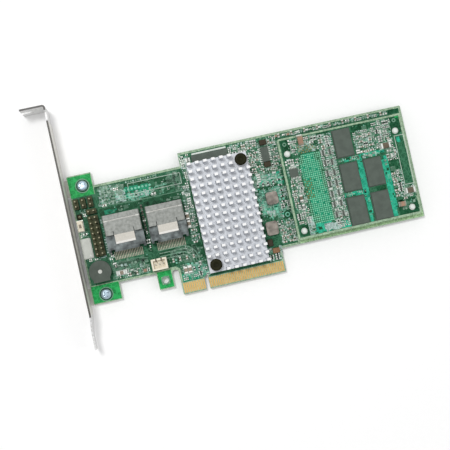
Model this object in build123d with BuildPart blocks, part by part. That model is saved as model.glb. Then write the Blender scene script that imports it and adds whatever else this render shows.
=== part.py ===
from build123d import *
import os
from math import cos, hypot, pi, sin

# Storage host adapter card, in millimetres.
# The origin is the middle of the key notch in the card edge, on the component side of the board.
# +X runs along the board away from the bracket, +Y from the card edge to the top edge, and +Z is up
# from the component side.

# Main board outline
board_thickness = 1.57
board_left = -56.6
board_right = 113.9
board_top = 68.9
left_tab_bottom = 4.7
upper_tab_right = -44.5
lower_tab_right = -42.3
recess_edge = 62.3
recess_right = -0.7
left_edge = 13.0
third_tab_left = -23.6
third_tab_right = -16.0
relief_top = 13.0
relief_flat = 0.05
right_edge = 11.8
corner_cut = 0.4
edge_bevel = 0.4

# Card edge
key_notch_width = 1.9
key_notch_top = 8.0
contact_pitch = 1.0
contact_width = 0.7
contact_plating = 0.06
contact_top = 5.5
contact_to_edge = 0.25
first_contact = 1.5
left_contact_count = 11
right_contact_count = 38
tab_margin = 0.75
tab_edge = first_contact - contact_pitch + contact_width / 2 + tab_margin
short_tab_left = -(tab_edge + left_contact_count * contact_pitch)
long_tab_right = tab_edge + right_contact_count * contact_pitch
relief_radius = (short_tab_left - third_tab_right) / 2 - relief_flat

# Bracket
bracket_thickness = 0.86
bracket_gap = 1.59
bracket_width = 18.42
bracket_below = 2.37
bracket_top = 103.8
bracket_tip = -16.2
tongue_width = 10.19
tongue_length = 7.0
taper_length = 9.6
flange_length = 11.43
flange_slot_width = 4.4
flange_slot_depth = 5.6
tongue_joggle = 1.1
neck_drop = 2.0
neck_below_bend = 1.6
neck_length = 5.6
ear_width = 8.4
ear_reach = 12.4
ear_relief = 0.8
bend_radius = 0.5
ear_corner = 1.0

# Fixings of the board
screw_x = -49.7
upper_screw_y = 63.1
lower_screw_y = 8.7
screw_thread_radius = 1.5
screw_hole_gap = 0.12
screw_head_radius = 2.55
screw_head_height = 1.7
screw_tail = 0.35
tab_hole_radius = 1.5
tab_hole_rise = 4.2
tab_hole = ((third_tab_left + third_tab_right) / 2, left_tab_bottom + tab_hole_rise)

# Distance within which a corner or an edge counts as lying on a line
near = 0.01

# Sides of the round holes and shafts that a head or a board covers
covered_sides = 6

# Heatsink and what it sits on
sink_x = 17.1
sink_y = 34.9
sink_length = 55.0
sink_width = 30.0
sink_base = 2.4
sink_height = 9.0
fin_columns = 8
fin_rows = 15
fin_width = 2.0
fin_depth = 1.5
fin_pitch_x = (sink_width - fin_width) / (fin_columns - 1)
fin_pitch_y = (sink_length - fin_depth) / (fin_rows - 1)
fin_taper = 1.2
push_pin_inset_x = 3.55
push_pin_inset_y = 3.65
push_pin_dx = sink_width / 2 - push_pin_inset_x
push_pin_dy = sink_length / 2 - push_pin_inset_y
pin_head_gap = 1.2
package_size = 31.0
package_thickness = 1.2
package_key = 1.2
lid_size = 27.0
lid_step_size = 23.0
lid_corner = 1.0
lid_rim = 0.5
lid_thickness = 1.4
pad_thickness = 0.3
pad_inset = 0.5

# Push pins
pin_shaft_radius = 1.35
pin_hole_gap = 0.15
pin_head_radius = 3.0
fin_clearance = pin_head_radius + pin_head_gap
pin_head_height = 1.2
pin_barb_radius = 1.75
pin_barb_length = 1.9
pin_barb_taper = 24
pin_split = 0.5
spring_wire = 0.5
spring_radius = 2.15
spring_length = 3.2
spring_turns = 2.5
spring_sides = 10
spring_seat_gap = 0.05

# Storage ports
port_centres = (-34.5, -13.2)
port_back = 36.0
port_depth = 10.0
port_mouth = port_back + port_depth
port_width = 18.1
housing_step = 0.25
housing_width = port_width + 2 * housing_step
housing_depth = 8.2
housing_back = port_back - housing_depth
housing_height = 6.7
housing_shoulder = 1.1
housing_notch_inset = 2.2
housing_notch_width = 1.9
port_rise = 1.9
port_height = housing_height + port_rise
shell_sheet = 0.3
shell_corner = 0.6
shell_peg_width = 1.3
shell_peg_tail = 0.9
shell_peg_inset = 1.6
peg_hole_gap = 0.15
shell_slit = 0.35
shell_slit_length = 1.9
tongue_half_width = 4.85
tongue_reach = 4.6
tongue_back = port_back - tongue_reach
tongue_rise = 0.6
ridge_width = 14.0
ridge_inset = 2.7
ridge_size = 0.3
ridge_taper = 30
core_gap = 0.85
core_width = port_width - 2 * shell_sheet - 2 * core_gap
core_reach = 5.4
core_front = port_back + core_reach
core_low = 1.4
core_high = 5.6
card_slot_wall = 0.5
card_slot_width = core_width - 2 * card_slot_wall
card_slot_height = 1.3
card_slot_depth = 4.4
lead_count = 18
lead_pitch = 0.8
lead_width = 0.34
lead_thickness = 0.2
lead_height = 1.5
lead_reach = 3.9
lead_foot = 1.5

# Pin headers
header_pitch = 2.54
header_pin_size = 0.64
header_body_height = 2.54
header_pin_height = 8.4
header_pin_tail = 0.9
header_gap = 0.04
header_corner = 0.3
jumper_pin_height = 6.7
long_header_rows = 8
long_header_x = -49.35
long_header_y = 28.65
cross_header_gap = 0.83
cross_header_y = long_header_y + long_header_rows * header_pitch + cross_header_gap
jumper_header_xs = (-54.65, -51.15, -47.6)
jumper_header_gap = 0.96
jumper_header_y = cross_header_y + header_pitch + jumper_header_gap

# Buzzer, crystal and the parts near the bracket
buzzer_x = -50.0
buzzer_y = 20.1
buzzer_radius = 5.4
buzzer_height = 5.2
buzzer_flat = 5.1
buzzer_foot_width = 8.1
buzzer_hole_radius = 1.1
buzzer_hole_depth = 1.0
crystal_x = -53.95
crystal_y = 32.4
crystal_width = 5.0
crystal_length = 10.1
crystal_height = 1.5
crystal_corner = 0.6
crystal_lid_inset = 0.35
crystal_lid = 0.35
fuse_x = -54.8
fuse_y = 43.75
fuse_width = 3.0
fuse_length = 5.3
fuse_height = 2.4
fuse_corner = 0.25
lamp_x = -54.2
lamp_y = 48.3
lamp_size = 2.5
lamp_height = 1.6
lamp_lens_radius = 0.6
lamp_lens_height = 0.3
plug_x = -21.1
plug_y = 17.4
plug_width = 7.7
plug_depth = 5.7
plug_height = 6.0
plug_wall = 0.9
plug_floor = 3.4
plug_slot_width = 0.7
plug_slot_spread = 1.35
plug_pins = 3
plug_pitch = 2.0
plug_pin_size = 0.5

# Packages on the main board
flash_x = 14.6
flash_y = 60.3
flash_length = 18.4
flash_width = 12.0
flash_height = 1.15
logic_x = 41.85
logic_y = 59.2
logic_length = 7.4
logic_width = 3.9
logic_height = 1.1
logic_lead_pitch = 0.9
logic_leads = 8
gull_reach = 0.9
gull_sheet = 0.16
gull_width = 0.34
inductor_width = 5.8
inductor_height = 2.6
inductor_corner = 0.8
upper_inductor_gap = 4.8
upper_inductor_y = 37.1
upper_inductor_length = 6.2
lower_inductor_gap = 1.6
lower_inductor_y = 22.5
lower_inductor_length = 6.8

# Memory board
memory_x = 48.3
memory_y = 13.7
memory_width = 63.3
memory_depth = 50.9
memory_thickness = 1.2
memory_gap = 4.0
memory_corner = 0.8
spacer_left = 3.7
spacer_right = 59.1
spacer_low = 4.0
spacer_high = 42.85
spacer_shaft_radius = 1.1
spacer_body_radius = 2.2
spacer_head_radius = 1.6
spacer_head_height = 0.9
spacer_head_taper = 35
spacer_gap = 0.1
chip_width = 9.2
chip_length = 14.2
chip_height = 1.1
chip_left_column = 32.0
chip_right_column = 44.3
chip_rows = (8.2, 25.1, 42.3)
mould_draft = 8
chip_substrate = 0.3
chip_draft_inset = 0.3
link_x = 15.6
link_y = 24.0
link_width = 6.4
link_length = 34.0
link_socket_height = 2.2
link_wall = 1.0
link_recess = 1.1
link_key_width = 3.6
link_key_gap = 0.3
supply_x = 4.8
supply_y = 33.1
supply_size = 4.2
supply_leads = 5
supply_lead_pitch = 0.75

# Small surface-mounted parts: length, width and height
large_chip = (3.2, 1.7, 1.2)
middle_chip = (1.6, 0.85, 0.8)
resistor_chip = (1.6, 0.85, 0.45)
array_chip = (1.6, 3.0, 0.5)
tantalum_block = (3.4, 2.5, 1.8)
memory_block = (4.6, 2.6, 1.6)
block_bevel = 0.2

# Places that small parts take from their neighbours
logic_gap_above = 1.05
logic_gap_below = 0.25
above_logic = logic_y + logic_length / 2 + logic_gap_above + tantalum_block[1] / 2
below_logic = logic_y - logic_length / 2 - logic_gap_below - tantalum_block[1] / 2
tab_corner_inset = 2.8
beside_tab = long_tab_right - tab_corner_inset
beside_port_gap = 0.45
beside_port = port_centres[1] + housing_width / 2 + beside_port_gap + large_chip[1] / 2
between_ports = (port_centres[0] + port_centres[1]) / 2

# Rows of like parts that lie along X or stand along Y: first x, first y, step x, step y, count
tantalums_lying = (
    (logic_x, above_logic, 0, 0, 1),
    (logic_x, below_logic, 0, 0, 1),
    (beside_tab, 11.4, 0, 0, 1),
)
tantalums_standing = ((34.7, 15.6, 0, 0, 1),)
large_chips_lying = ((-40.0, 17.3, 0, 0, 1),)
large_chips_standing = ((-6.9, 11.6, -2.1, 0, 2), (beside_port, 33.6, 0, 3.8, 2))
middle_chips_lying = (
    (34.9, 53.0, 0, 3.6, 4),
    (37.3, 53.8, 0, 3.6, 4),
    (46.4, 53.4, 0, 3.6, 4),
    (42.2, 14.5, 0, 3.0, 3),
    (45.6, 14.5, 0, 3.0, 4),
    (-1.2, 24.2, 0, 3.0, 3),
)
middle_chips_standing = ((50.5, 66.9, 6.6, 0, 9), (-14.0, 17.6, 3.4, 0, 4), (-36.0, 15.6, 3.4, 0, 2))
resistors_lying = ((-53.4, 39.6, 0, 0, 1), (45.9, 34.4, 0, 2.8, 5))
resistors_standing = ((between_ports, 35.6, 0, 2.8, 5), (35.0, 44.8, 2.6, 0, 4), (-4.8, 11.4, 2.4, 0, 2))

# The same on the memory board, measured from its lower left corner
arrays_lying = ((21.2, 8.4, 0, 5.2, 7), (24.6, 8.4, 0, 5.2, 7))
memory_chips_lying = (
    (41.0, 36.0, 0, 2.6, 4),
    (45.6, 36.0, 0, 2.6, 4),
    (53.4, 11.0, 0, 2.8, 5),
    (3.2, 18.0, 0, 3.0, 4),
)
memory_blocks_lying = ((59.8, 12.4, 0, 0, 1), (52.6, 36.6, 0, 0, 1))
memory_blocks_standing = ((11.4, 48.0, 0, 0, 1),)

# Sizes worked out from the ones above
solder_side = -board_thickness
bracket_inner = board_left - bracket_gap
bracket_outer = bracket_inner - bracket_thickness
bracket_low = solder_side - bracket_below
bracket_high = bracket_low + bracket_width
ear_under = solder_side - bracket_thickness
sink_bottom = package_thickness + lid_thickness + pad_thickness
sink_seat = sink_bottom + sink_base
spring_top = sink_seat + spring_length
memory_bottom = memory_gap
memory_top = memory_gap + memory_thickness
screw_ys = (upper_screw_y, lower_screw_y)
push_pins = [
    (sink_x + push_pin_dx, sink_y + push_pin_dy),
    (sink_x - push_pin_dx, sink_y - push_pin_dy),
]
spacers = [
    (memory_x + across, memory_y + up)
    for across in (spacer_left, spacer_right)
    for up in (spacer_low, spacer_high)
]
memory_chips = [
    (memory_x + chip_left_column, memory_y + chip_rows[2]),
    (memory_x + chip_left_column, memory_y + chip_rows[1]),
    (memory_x + chip_left_column, memory_y + chip_rows[0]),
    (memory_x + chip_right_column, memory_y + chip_rows[1]),
    (memory_x + chip_right_column, memory_y + chip_rows[0]),
]
shell_peg_ys = (port_back + shell_peg_inset, port_mouth - 2 * shell_peg_inset)
long_header_pins = [
    (long_header_x + column * header_pitch, long_header_y + row * header_pitch)
    for column in range(2)
    for row in range(long_header_rows)
]
cross_header_pins = [(long_header_x + column * header_pitch, cross_header_y) for column in range(2)]
jumper_pins = [
    (x, jumper_header_y + row * header_pitch) for x in jumper_header_xs for row in range(2)
]
plug_pin_places = [
    (plug_x + (number - (plug_pins - 1) / 2) * plug_pitch, plug_y) for number in range(plug_pins)
]
header_hole = header_pin_size + 2 * header_gap
plug_hole = plug_pin_size + 2 * header_gap

os.makedirs("parts", exist_ok=True)


def write(piece, label):
    """Labels a finished piece and writes it as its own file."""
    piece.part.label = label
    export_step(piece.part, f"parts/{label}.step")


def line_of(first_x, first_y, step_x, step_y, count):
    """Places of a straight row of like parts."""
    return [(first_x + step_x * number, first_y + step_y * number) for number in range(count)]


def places_of(rows):
    """Places of every part in a table of rows."""
    return [place for row in rows for place in line_of(*row)]


def on_memory(places):
    """Moves places on the memory board to the card's own frame."""
    return [(memory_x + x, memory_y + y) for x, y in places]


def peg_places(centre):
    """Places of one port's pegs, under the sides of its shell."""
    offset = (port_width - shell_sheet) / 2
    return [(centre + side * offset, y) for side in (-1, 1) for y in shell_peg_ys]


# Main board: one outline with its tabs, the key notch, the relief slot and every hole
board_outline = [
    (board_left, left_tab_bottom),
    (lower_tab_right, left_tab_bottom),
    (lower_tab_right, left_edge),
    (third_tab_left, left_edge),
    (third_tab_left, left_tab_bottom),
    (third_tab_right, left_tab_bottom),
    (third_tab_right, relief_top),
    (short_tab_left, relief_top),
    (short_tab_left, 0),
    (long_tab_right, 0),
    (long_tab_right, right_edge),
    (board_right, right_edge),
    (board_right, board_top),
    (recess_right, board_top),
    (recess_right, recess_edge),
    (upper_tab_right, recess_edge),
    (upper_tab_right, board_top),
    (board_left, board_top),
]

with BuildPart() as main_board:
    with BuildSketch(Plane.XY.offset(solder_side)):
        with BuildLine():
            Polyline(*board_outline, close=True)
        make_face()
        relief_corners = [
            corner
            for corner in vertices()
            if abs(corner.Y - relief_top) < near and third_tab_right - near < corner.X < short_tab_left + near
        ]
        fillet(relief_corners, relief_radius)
        outer_corners = [
            corner
            for corner in vertices()
            if corner.X < board_left + near or corner.X > board_right - near or corner.Y < near
        ]
        chamfer(outer_corners, corner_cut)
        notch_length = key_notch_top + key_notch_width
        with Locations((0, key_notch_top - notch_length / 2)):
            SlotOverall(notch_length, key_notch_width, rotation=90, mode=Mode.SUBTRACT)
        with Locations(*[(screw_x, y) for y in screw_ys]):
            RegularPolygon(screw_thread_radius + screw_hole_gap, covered_sides, mode=Mode.SUBTRACT)
        with Locations(tab_hole):
            Circle(tab_hole_radius, mode=Mode.SUBTRACT)
        with Locations(*push_pins):
            RegularPolygon(pin_shaft_radius + pin_hole_gap, covered_sides, mode=Mode.SUBTRACT)
        with Locations(*[place for centre in port_centres for place in peg_places(centre)]):
            Rectangle(
                shell_sheet + 2 * peg_hole_gap, shell_peg_width + 2 * peg_hole_gap, mode=Mode.SUBTRACT
            )
        with Locations(*long_header_pins, *cross_header_pins, *jumper_pins):
            Rectangle(header_hole, header_hole, mode=Mode.SUBTRACT)
        with Locations(*plug_pin_places):
            Rectangle(plug_hole, plug_hole, mode=Mode.SUBTRACT)
    extrude(amount=board_thickness)
    card_edge = edges().filter_by(Axis.X).group_by(Axis.Y)[0]
    chamfer(card_edge, edge_bevel)
write(main_board, "main_board")


# Gold contacts of the card edge, one row on each side
def contact_places():
    length = contact_top - edge_bevel - contact_to_edge
    middle = (contact_top + edge_bevel + contact_to_edge) / 2
    short_tab = line_of(-first_contact, middle, -contact_pitch, 0, left_contact_count)
    long_tab = line_of(first_contact, middle, contact_pitch, 0, right_contact_count)
    return length, short_tab + long_tab


contact_length, contacts = contact_places()
for label, face, rise in (
    ("edge_contacts_front", 0, contact_plating),
    ("edge_contacts_back", solder_side, -contact_plating),
):
    with BuildPart() as edge_contacts:
        with BuildSketch(Plane.XY.offset(face)):
            with Locations(*contacts):
                Rectangle(contact_width, contact_length)
        extrude(amount=rise)
    write(edge_contacts, label)


# Bracket: one folded sheet, with a joggled tongue, a slotted flange and two ears under the board
tongue_low = (bracket_low + bracket_high - tongue_width) / 2
tongue_high = tongue_low + tongue_width
taper_low = bracket_tip + tongue_length
taper_high = taper_low + taper_length
neck_top = bracket_high - neck_drop
neck_high = bracket_top - bracket_thickness - neck_below_bend
neck_low = neck_high - neck_length
flange_tip = bracket_outer - flange_length
flange_under = bracket_top - bracket_thickness
flange_middle = (bracket_low + bracket_high) / 2
bracket_section = [
    (flange_tip, bracket_top),
    (bracket_inner, bracket_top),
    (bracket_inner, taper_high),
    (bracket_inner - tongue_joggle, taper_low),
    (bracket_inner - tongue_joggle, bracket_tip),
    (bracket_outer - tongue_joggle, bracket_tip),
    (bracket_outer - tongue_joggle, taper_low),
    (bracket_outer, taper_high),
    (bracket_outer, flange_under),
    (flange_tip, flange_under),
]
bracket_face = [
    (bracket_tip, tongue_low),
    (taper_low, tongue_low),
    (taper_high, bracket_low),
    (bracket_top, bracket_low),
    (bracket_top, bracket_high),
    (neck_high, bracket_high),
    (neck_high - neck_drop / 2, neck_top),
    (neck_low + neck_drop / 2, neck_top),
    (neck_low, bracket_high),
    (taper_high, bracket_high),
    (taper_low, tongue_high),
    (bracket_tip, tongue_high),
]

with BuildPart() as bracket:
    with BuildSketch(Plane.XY.offset(bracket_low)):
        with BuildLine():
            Polyline(*bracket_section, close=True)
        make_face()
        fillet(vertices().group_by(Axis.Y)[-1].sort_by(Axis.X)[-1], bend_radius + bracket_thickness)
        inner_bend = [
            corner
            for corner in vertices()
            if abs(corner.X - bracket_outer) < near and abs(corner.Y - flange_under) < near
        ]
        fillet(inner_bend, bend_radius)
    extrude(amount=bracket_width)
    with BuildSketch(Plane.YZ.offset(flange_tip)):
        with BuildLine():
            Polyline(*bracket_face, close=True)
        make_face()
        for y in screw_ys:
            with Locations((y, (bracket_low + ear_under) / 2)):
                Rectangle(ear_width + 2 * ear_relief, ear_under - bracket_low, mode=Mode.SUBTRACT)
    extrude(amount=bracket_inner - flange_tip, mode=Mode.INTERSECT)
    with BuildSketch(Plane.XZ.offset(-bracket_top)):
        with Locations((flange_tip, flange_middle)):
            SlotOverall(2 * flange_slot_depth, flange_slot_width)
    extrude(amount=bracket_thickness, mode=Mode.SUBTRACT)
    with BuildSketch(Plane.XY.offset(ear_under)):
        for y in screw_ys:
            with Locations((bracket_inner + ear_reach / 2, y)):
                Rectangle(ear_reach, ear_width)
            with Locations((screw_x, y)):
                RegularPolygon(screw_thread_radius, covered_sides, mode=Mode.SUBTRACT)
    extrude(amount=bracket_thickness)
    inner_folds = [
        edge
        for edge in edges().filter_by(Axis.Y)
        if abs(edge.center().X - bracket_inner) < near and abs(edge.center().Z - solder_side) < near
    ]
    fillet(inner_folds, bend_radius)
    ear_corners = [
        edge
        for edge in edges().filter_by(Axis.Z)
        if abs(edge.center().X - bracket_inner - ear_reach) < near
    ]
    chamfer(ear_corners, ear_corner)
write(bracket, "bracket")


# Bracket screws, clamping the board onto the ears
with BuildPart() as bracket_screws:
    with BuildSketch(Plane.XY.offset(ear_under - screw_tail)):
        with Locations(*[(screw_x, y) for y in screw_ys]):
            RegularPolygon(screw_thread_radius, covered_sides)
    extrude(amount=-ear_under + screw_tail)
    with BuildSketch(Plane.XY):
        with Locations(*[(screw_x, y) for y in screw_ys]):
            Circle(screw_head_radius)
    extrude(amount=screw_head_height)
write(bracket_screws, "bracket_screws")


# Heatsink: an extruded base with cross-cut fins, left clear round the push pins
def fin_places():
    places = []
    for column in range(fin_columns):
        for row in range(fin_rows):
            x = sink_x + (column - (fin_columns - 1) / 2) * fin_pitch_x
            y = sink_y + (row - (fin_rows - 1) / 2) * fin_pitch_y
            if all(hypot(x - pin_x, y - pin_y) > fin_clearance for pin_x, pin_y in push_pins):
                places.append((x, y))
    return places


with BuildPart() as heatsink:
    with BuildSketch(Plane.XY.offset(sink_bottom)):
        with Locations((sink_x, sink_y)):
            Rectangle(sink_width, sink_length)
        with Locations(*push_pins):
            RegularPolygon(pin_shaft_radius + pin_hole_gap, covered_sides, mode=Mode.SUBTRACT)
    extrude(amount=sink_base)
    with BuildSketch(Plane.XY.offset(sink_seat)):
        with Locations(*fin_places()):
            Rectangle(fin_width, fin_depth)
    extrude(amount=sink_height - sink_base, taper=fin_taper)
write(heatsink, "heatsink")


# Controller package, its stamped lid and the thermal pad between the lid and the heatsink
with BuildPart() as controller_package:
    with BuildSketch():
        with Locations((sink_x, sink_y)):
            Rectangle(package_size, package_size)
        chamfer(vertices().group_by(Axis.Y)[0].sort_by(Axis.X)[0], package_key)
    extrude(amount=package_thickness)
write(controller_package, "controller_package")

with BuildPart() as controller_lid:
    with BuildSketch(Plane.XY.offset(package_thickness)):
        with Locations((sink_x, sink_y)):
            Rectangle(lid_size, lid_size)
        chamfer(vertices(), lid_corner)
    extrude(amount=lid_rim)
    with BuildSketch(Plane.XY.offset(package_thickness + lid_rim)):
        with Locations((sink_x, sink_y)):
            Rectangle(lid_step_size, lid_step_size)
        chamfer(vertices(), lid_corner)
    extrude(amount=lid_thickness - lid_rim)
write(controller_lid, "controller_lid")

with BuildPart() as thermal_pad:
    with BuildSketch(Plane.XY.offset(package_thickness + lid_thickness)):
        with Locations((sink_x, sink_y)):
            Rectangle(lid_step_size - 2 * pad_inset, lid_step_size - 2 * pad_inset)
    extrude(amount=pad_thickness)
write(thermal_pad, "thermal_pad")


# Push pins with split barbs under the board, and the springs under their heads
with BuildPart() as pin_shape:
    with BuildSketch(Plane.XY.offset(spring_top)):
        Circle(pin_head_radius)
    extrude(amount=pin_head_height)
    with BuildSketch(Plane.XY.offset(solder_side)):
        RegularPolygon(pin_shaft_radius, covered_sides)
    extrude(amount=spring_top - solder_side)
    with BuildSketch(Plane.XY.offset(solder_side)):
        RegularPolygon(pin_barb_radius, covered_sides)
    extrude(amount=-pin_barb_length, taper=pin_barb_taper)
    with BuildSketch(Plane.XY.offset(solder_side - pin_barb_length)):
        Rectangle(pin_split, 2 * pin_barb_radius)
    extrude(amount=pin_barb_length + board_thickness, mode=Mode.SUBTRACT)

with BuildPart() as heatsink_push_pins:
    with Locations(*push_pins):
        add(pin_shape.part)
write(heatsink_push_pins, "heatsink_push_pins")

spring_rise = spring_length - spring_wire - 2 * spring_seat_gap
with BuildPart() as spring_shape:
    with BuildLine():
        steps = round(spring_turns * spring_sides)
        coil = Polyline(
            *[
                (
                    spring_radius * cos(2 * pi * step / spring_sides),
                    spring_radius * sin(2 * pi * step / spring_sides),
                    sink_seat + spring_seat_gap + spring_wire / 2 + spring_rise * step / steps,
                )
                for step in range(steps + 1)
            ]
        )
    with BuildSketch(Plane(coil @ 0, z_dir=coil % 0)):
        Rectangle(spring_wire, spring_wire)
    sweep(path=coil, transition=Transition.RIGHT)

with BuildPart() as push_pin_springs:
    with Locations(*push_pins):
        add(spring_shape.part)
write(push_pin_springs, "push_pin_springs")


# Storage ports: a moulded housing, a formed shell and a row of leads
port_slot_low = (core_low + core_high - card_slot_height) / 2


def port_housing(centre):
    """Moulded body: a shouldered block behind the shell and a slotted core inside it."""
    with BuildPart() as housing:
        with BuildSketch(Plane.YZ.offset(centre - housing_width / 2)):
            with BuildLine():
                Polyline(
                    (housing_back, 0),
                    (port_back, 0),
                    (port_back, housing_height),
                    (housing_back + housing_shoulder, housing_height),
                    (housing_back, housing_height - housing_shoulder),
                    close=True,
                )
            make_face()
        extrude(amount=housing_width)
        with BuildSketch(Plane.XZ.offset(-port_back)):
            with Locations((centre, (core_low + core_high) / 2)):
                Rectangle(core_width, core_high - core_low)
        extrude(amount=port_back - core_front)
        with BuildSketch(Plane.XZ.offset(-core_front)):
            with Locations((centre, port_slot_low + card_slot_height / 2)):
                Rectangle(card_slot_width, card_slot_height)
        extrude(amount=card_slot_depth, mode=Mode.SUBTRACT)
        with BuildSketch(Plane.XY.offset(housing_height)):
            notch_offset = housing_width / 2 - housing_notch_inset
            with Locations(*[(centre + side * notch_offset, housing_back) for side in (-1, 1)]):
                Rectangle(housing_notch_width, 2 * housing_shoulder)
        extrude(amount=-housing_height, mode=Mode.SUBTRACT)
    return housing


def port_shell(centre):
    """Formed sheet: roof and sides, pegs into the board, and the tongue folded onto the housing."""
    inner_height = port_height - shell_sheet
    tongue_top = housing_height + tongue_rise
    with BuildPart() as shell:
        with BuildSketch(Plane.XZ.offset(-port_mouth)):
            with Locations((centre, port_height / 2)):
                Rectangle(port_width, port_height)
            with Locations((centre, inner_height / 2)):
                Rectangle(port_width - 2 * shell_sheet, inner_height, mode=Mode.SUBTRACT)
            roof_corners = [
                corner for corner in vertices() if abs(corner.Y - port_height) < near
            ]
            fillet(roof_corners, shell_corner)
        extrude(amount=port_mouth - port_back)
        with BuildSketch(Plane.XY.offset(port_height)):
            slit_middle = port_back + shell_slit_length / 2
            slit_offset = tongue_half_width + shell_slit / 2
            with Locations(*[(centre + side * slit_offset, slit_middle) for side in (-1, 1)]):
                Rectangle(shell_slit, shell_slit_length)
        extrude(amount=-2 * shell_sheet, mode=Mode.SUBTRACT)
        with BuildSketch(Plane.YZ.offset(centre - tongue_half_width)):
            with BuildLine():
                Polyline(
                    (port_back, port_height),
                    (tongue_back, tongue_top),
                    (tongue_back, housing_height),
                    (tongue_back + shell_sheet, housing_height),
                    (tongue_back + shell_sheet, tongue_top - shell_sheet),
                    (port_back, inner_height),
                    close=True,
                )
            make_face()
        extrude(amount=2 * tongue_half_width)
        with BuildSketch(Plane.XY.offset(port_height)):
            with Locations((centre, port_mouth - ridge_inset)):
                Rectangle(ridge_width, 2 * ridge_size)
        extrude(amount=ridge_size, taper=ridge_taper)
        with BuildSketch(Plane.XY):
            with Locations(*peg_places(centre)):
                Rectangle(shell_sheet, shell_peg_width)
        extrude(amount=solder_side - shell_peg_tail)
    return shell


def port_contacts(centre):
    """Bent leads that run from the back of the housing down to the board."""
    foot = housing_back - lead_reach
    first = centre - (lead_count - 1) * lead_pitch / 2
    with BuildPart() as contacts_of_port:
        for number in range(lead_count):
            x = first + number * lead_pitch
            with BuildSketch(Plane.YZ.offset(x - lead_width / 2)):
                with BuildLine():
                    Polyline(
                        (housing_back, lead_height),
                        (foot + lead_foot, lead_thickness),
                        (foot, lead_thickness),
                        (foot, 0),
                        (foot + lead_foot, 0),
                        (housing_back, lead_height - lead_thickness),
                        close=True,
                    )
                make_face()
            extrude(amount=lead_width)
    return contacts_of_port


for number, centre in enumerate(port_centres, start=1):
    write(port_housing(centre), f"sas_port_{number}_housing")
    write(port_shell(centre), f"sas_port_{number}_shell")
    write(port_contacts(centre), f"sas_port_{number}_contacts")


# Pin headers: black bodies with square posts that pass through the board
def header_posts(places, size, height, tail):
    with BuildPart() as posts:
        with BuildSketch(Plane.XY.offset(solder_side - tail)):
            with Locations(*places):
                Rectangle(size, size)
        extrude(amount=board_thickness + tail + height)
    return posts


def header(places):
    with BuildPart() as body:
        with BuildSketch(Plane.XY):
            with Locations(*places):
                Rectangle(header_pitch, header_pitch)
            with Locations(*places):
                Rectangle(header_hole, header_hole, mode=Mode.SUBTRACT)
        extrude(amount=header_body_height)
        outside = body.part.bounding_box()
        corners = [
            edge
            for edge in edges().filter_by(Axis.Z)
            if edge.center().X < outside.min.X + near or edge.center().X > outside.max.X - near
        ]
        chamfer(corners, header_corner)
    return body


write(header(long_header_pins), "pin_header_body")
write(header_posts(long_header_pins, header_pin_size, header_pin_height, header_pin_tail), "pin_header_posts")
write(header(cross_header_pins), "two_pin_header_body")

with BuildPart() as jumper_headers:
    for x in jumper_header_xs:
        with BuildSketch(Plane.XY):
            pair = [place for place in jumper_pins if place[0] == x]
            with Locations(*pair):
                Rectangle(header_pitch, header_pitch)
            with Locations(*pair):
                Rectangle(header_hole, header_hole, mode=Mode.SUBTRACT)
        extrude(amount=header_body_height)
write(jumper_headers, "jumper_header_bodies")
small_header_pins = cross_header_pins + jumper_pins
write(
    header_posts(small_header_pins, header_pin_size, jumper_pin_height, header_pin_tail),
    "jumper_header_posts",
)


# Buzzer: a round case with one flattened side and a sound hole
with BuildPart() as buzzer:
    with BuildSketch(Plane.XY):
        with Locations((buzzer_x, buzzer_y)):
            Circle(buzzer_radius)
        with Locations((buzzer_x, buzzer_y - buzzer_flat / 2)):
            Rectangle(buzzer_foot_width, buzzer_flat)
        with Locations((buzzer_x, buzzer_y - buzzer_flat - buzzer_radius / 2)):
            Rectangle(2 * buzzer_radius, buzzer_radius, mode=Mode.SUBTRACT)
    extrude(amount=buzzer_height)
    with BuildSketch(Plane.XY.offset(buzzer_height)):
        with Locations((buzzer_x, buzzer_y)):
            Circle(buzzer_hole_radius)
    extrude(amount=-buzzer_hole_depth, mode=Mode.SUBTRACT)
write(buzzer, "buzzer")


# Crystal: a ceramic base with a rounded metal lid
with BuildPart() as crystal:
    with BuildSketch(Plane.XY):
        with Locations((crystal_x, crystal_y)):
            Rectangle(crystal_width, crystal_length)
        chamfer(vertices(), crystal_corner)
    extrude(amount=crystal_height - crystal_lid)
    with BuildSketch(Plane.XY.offset(crystal_height - crystal_lid)):
        with Locations((crystal_x, crystal_y)):
            Rectangle(crystal_width - 2 * crystal_lid_inset, crystal_length - 2 * crystal_lid_inset)
        chamfer(vertices(), crystal_corner)
    extrude(amount=crystal_lid)
write(crystal, "crystal")

with BuildPart() as fuse:
    with BuildSketch(Plane.XY):
        with Locations((fuse_x, fuse_y)):
            Rectangle(fuse_width, fuse_length)
    extrude(amount=fuse_height)
    chamfer(faces().sort_by(Axis.Z)[-1].edges(), fuse_corner)
write(fuse, "fuse")

with BuildPart() as status_lamp:
    with BuildSketch(Plane.XY):
        with Locations((lamp_x, lamp_y)):
            Rectangle(lamp_size, lamp_size)
    extrude(amount=lamp_height)
    with BuildSketch(Plane.XY.offset(lamp_height)):
        with Locations((lamp_x, lamp_y)):
            RegularPolygon(lamp_lens_radius, covered_sides)
    extrude(amount=lamp_lens_height)
write(status_lamp, "status_lamp")


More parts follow.
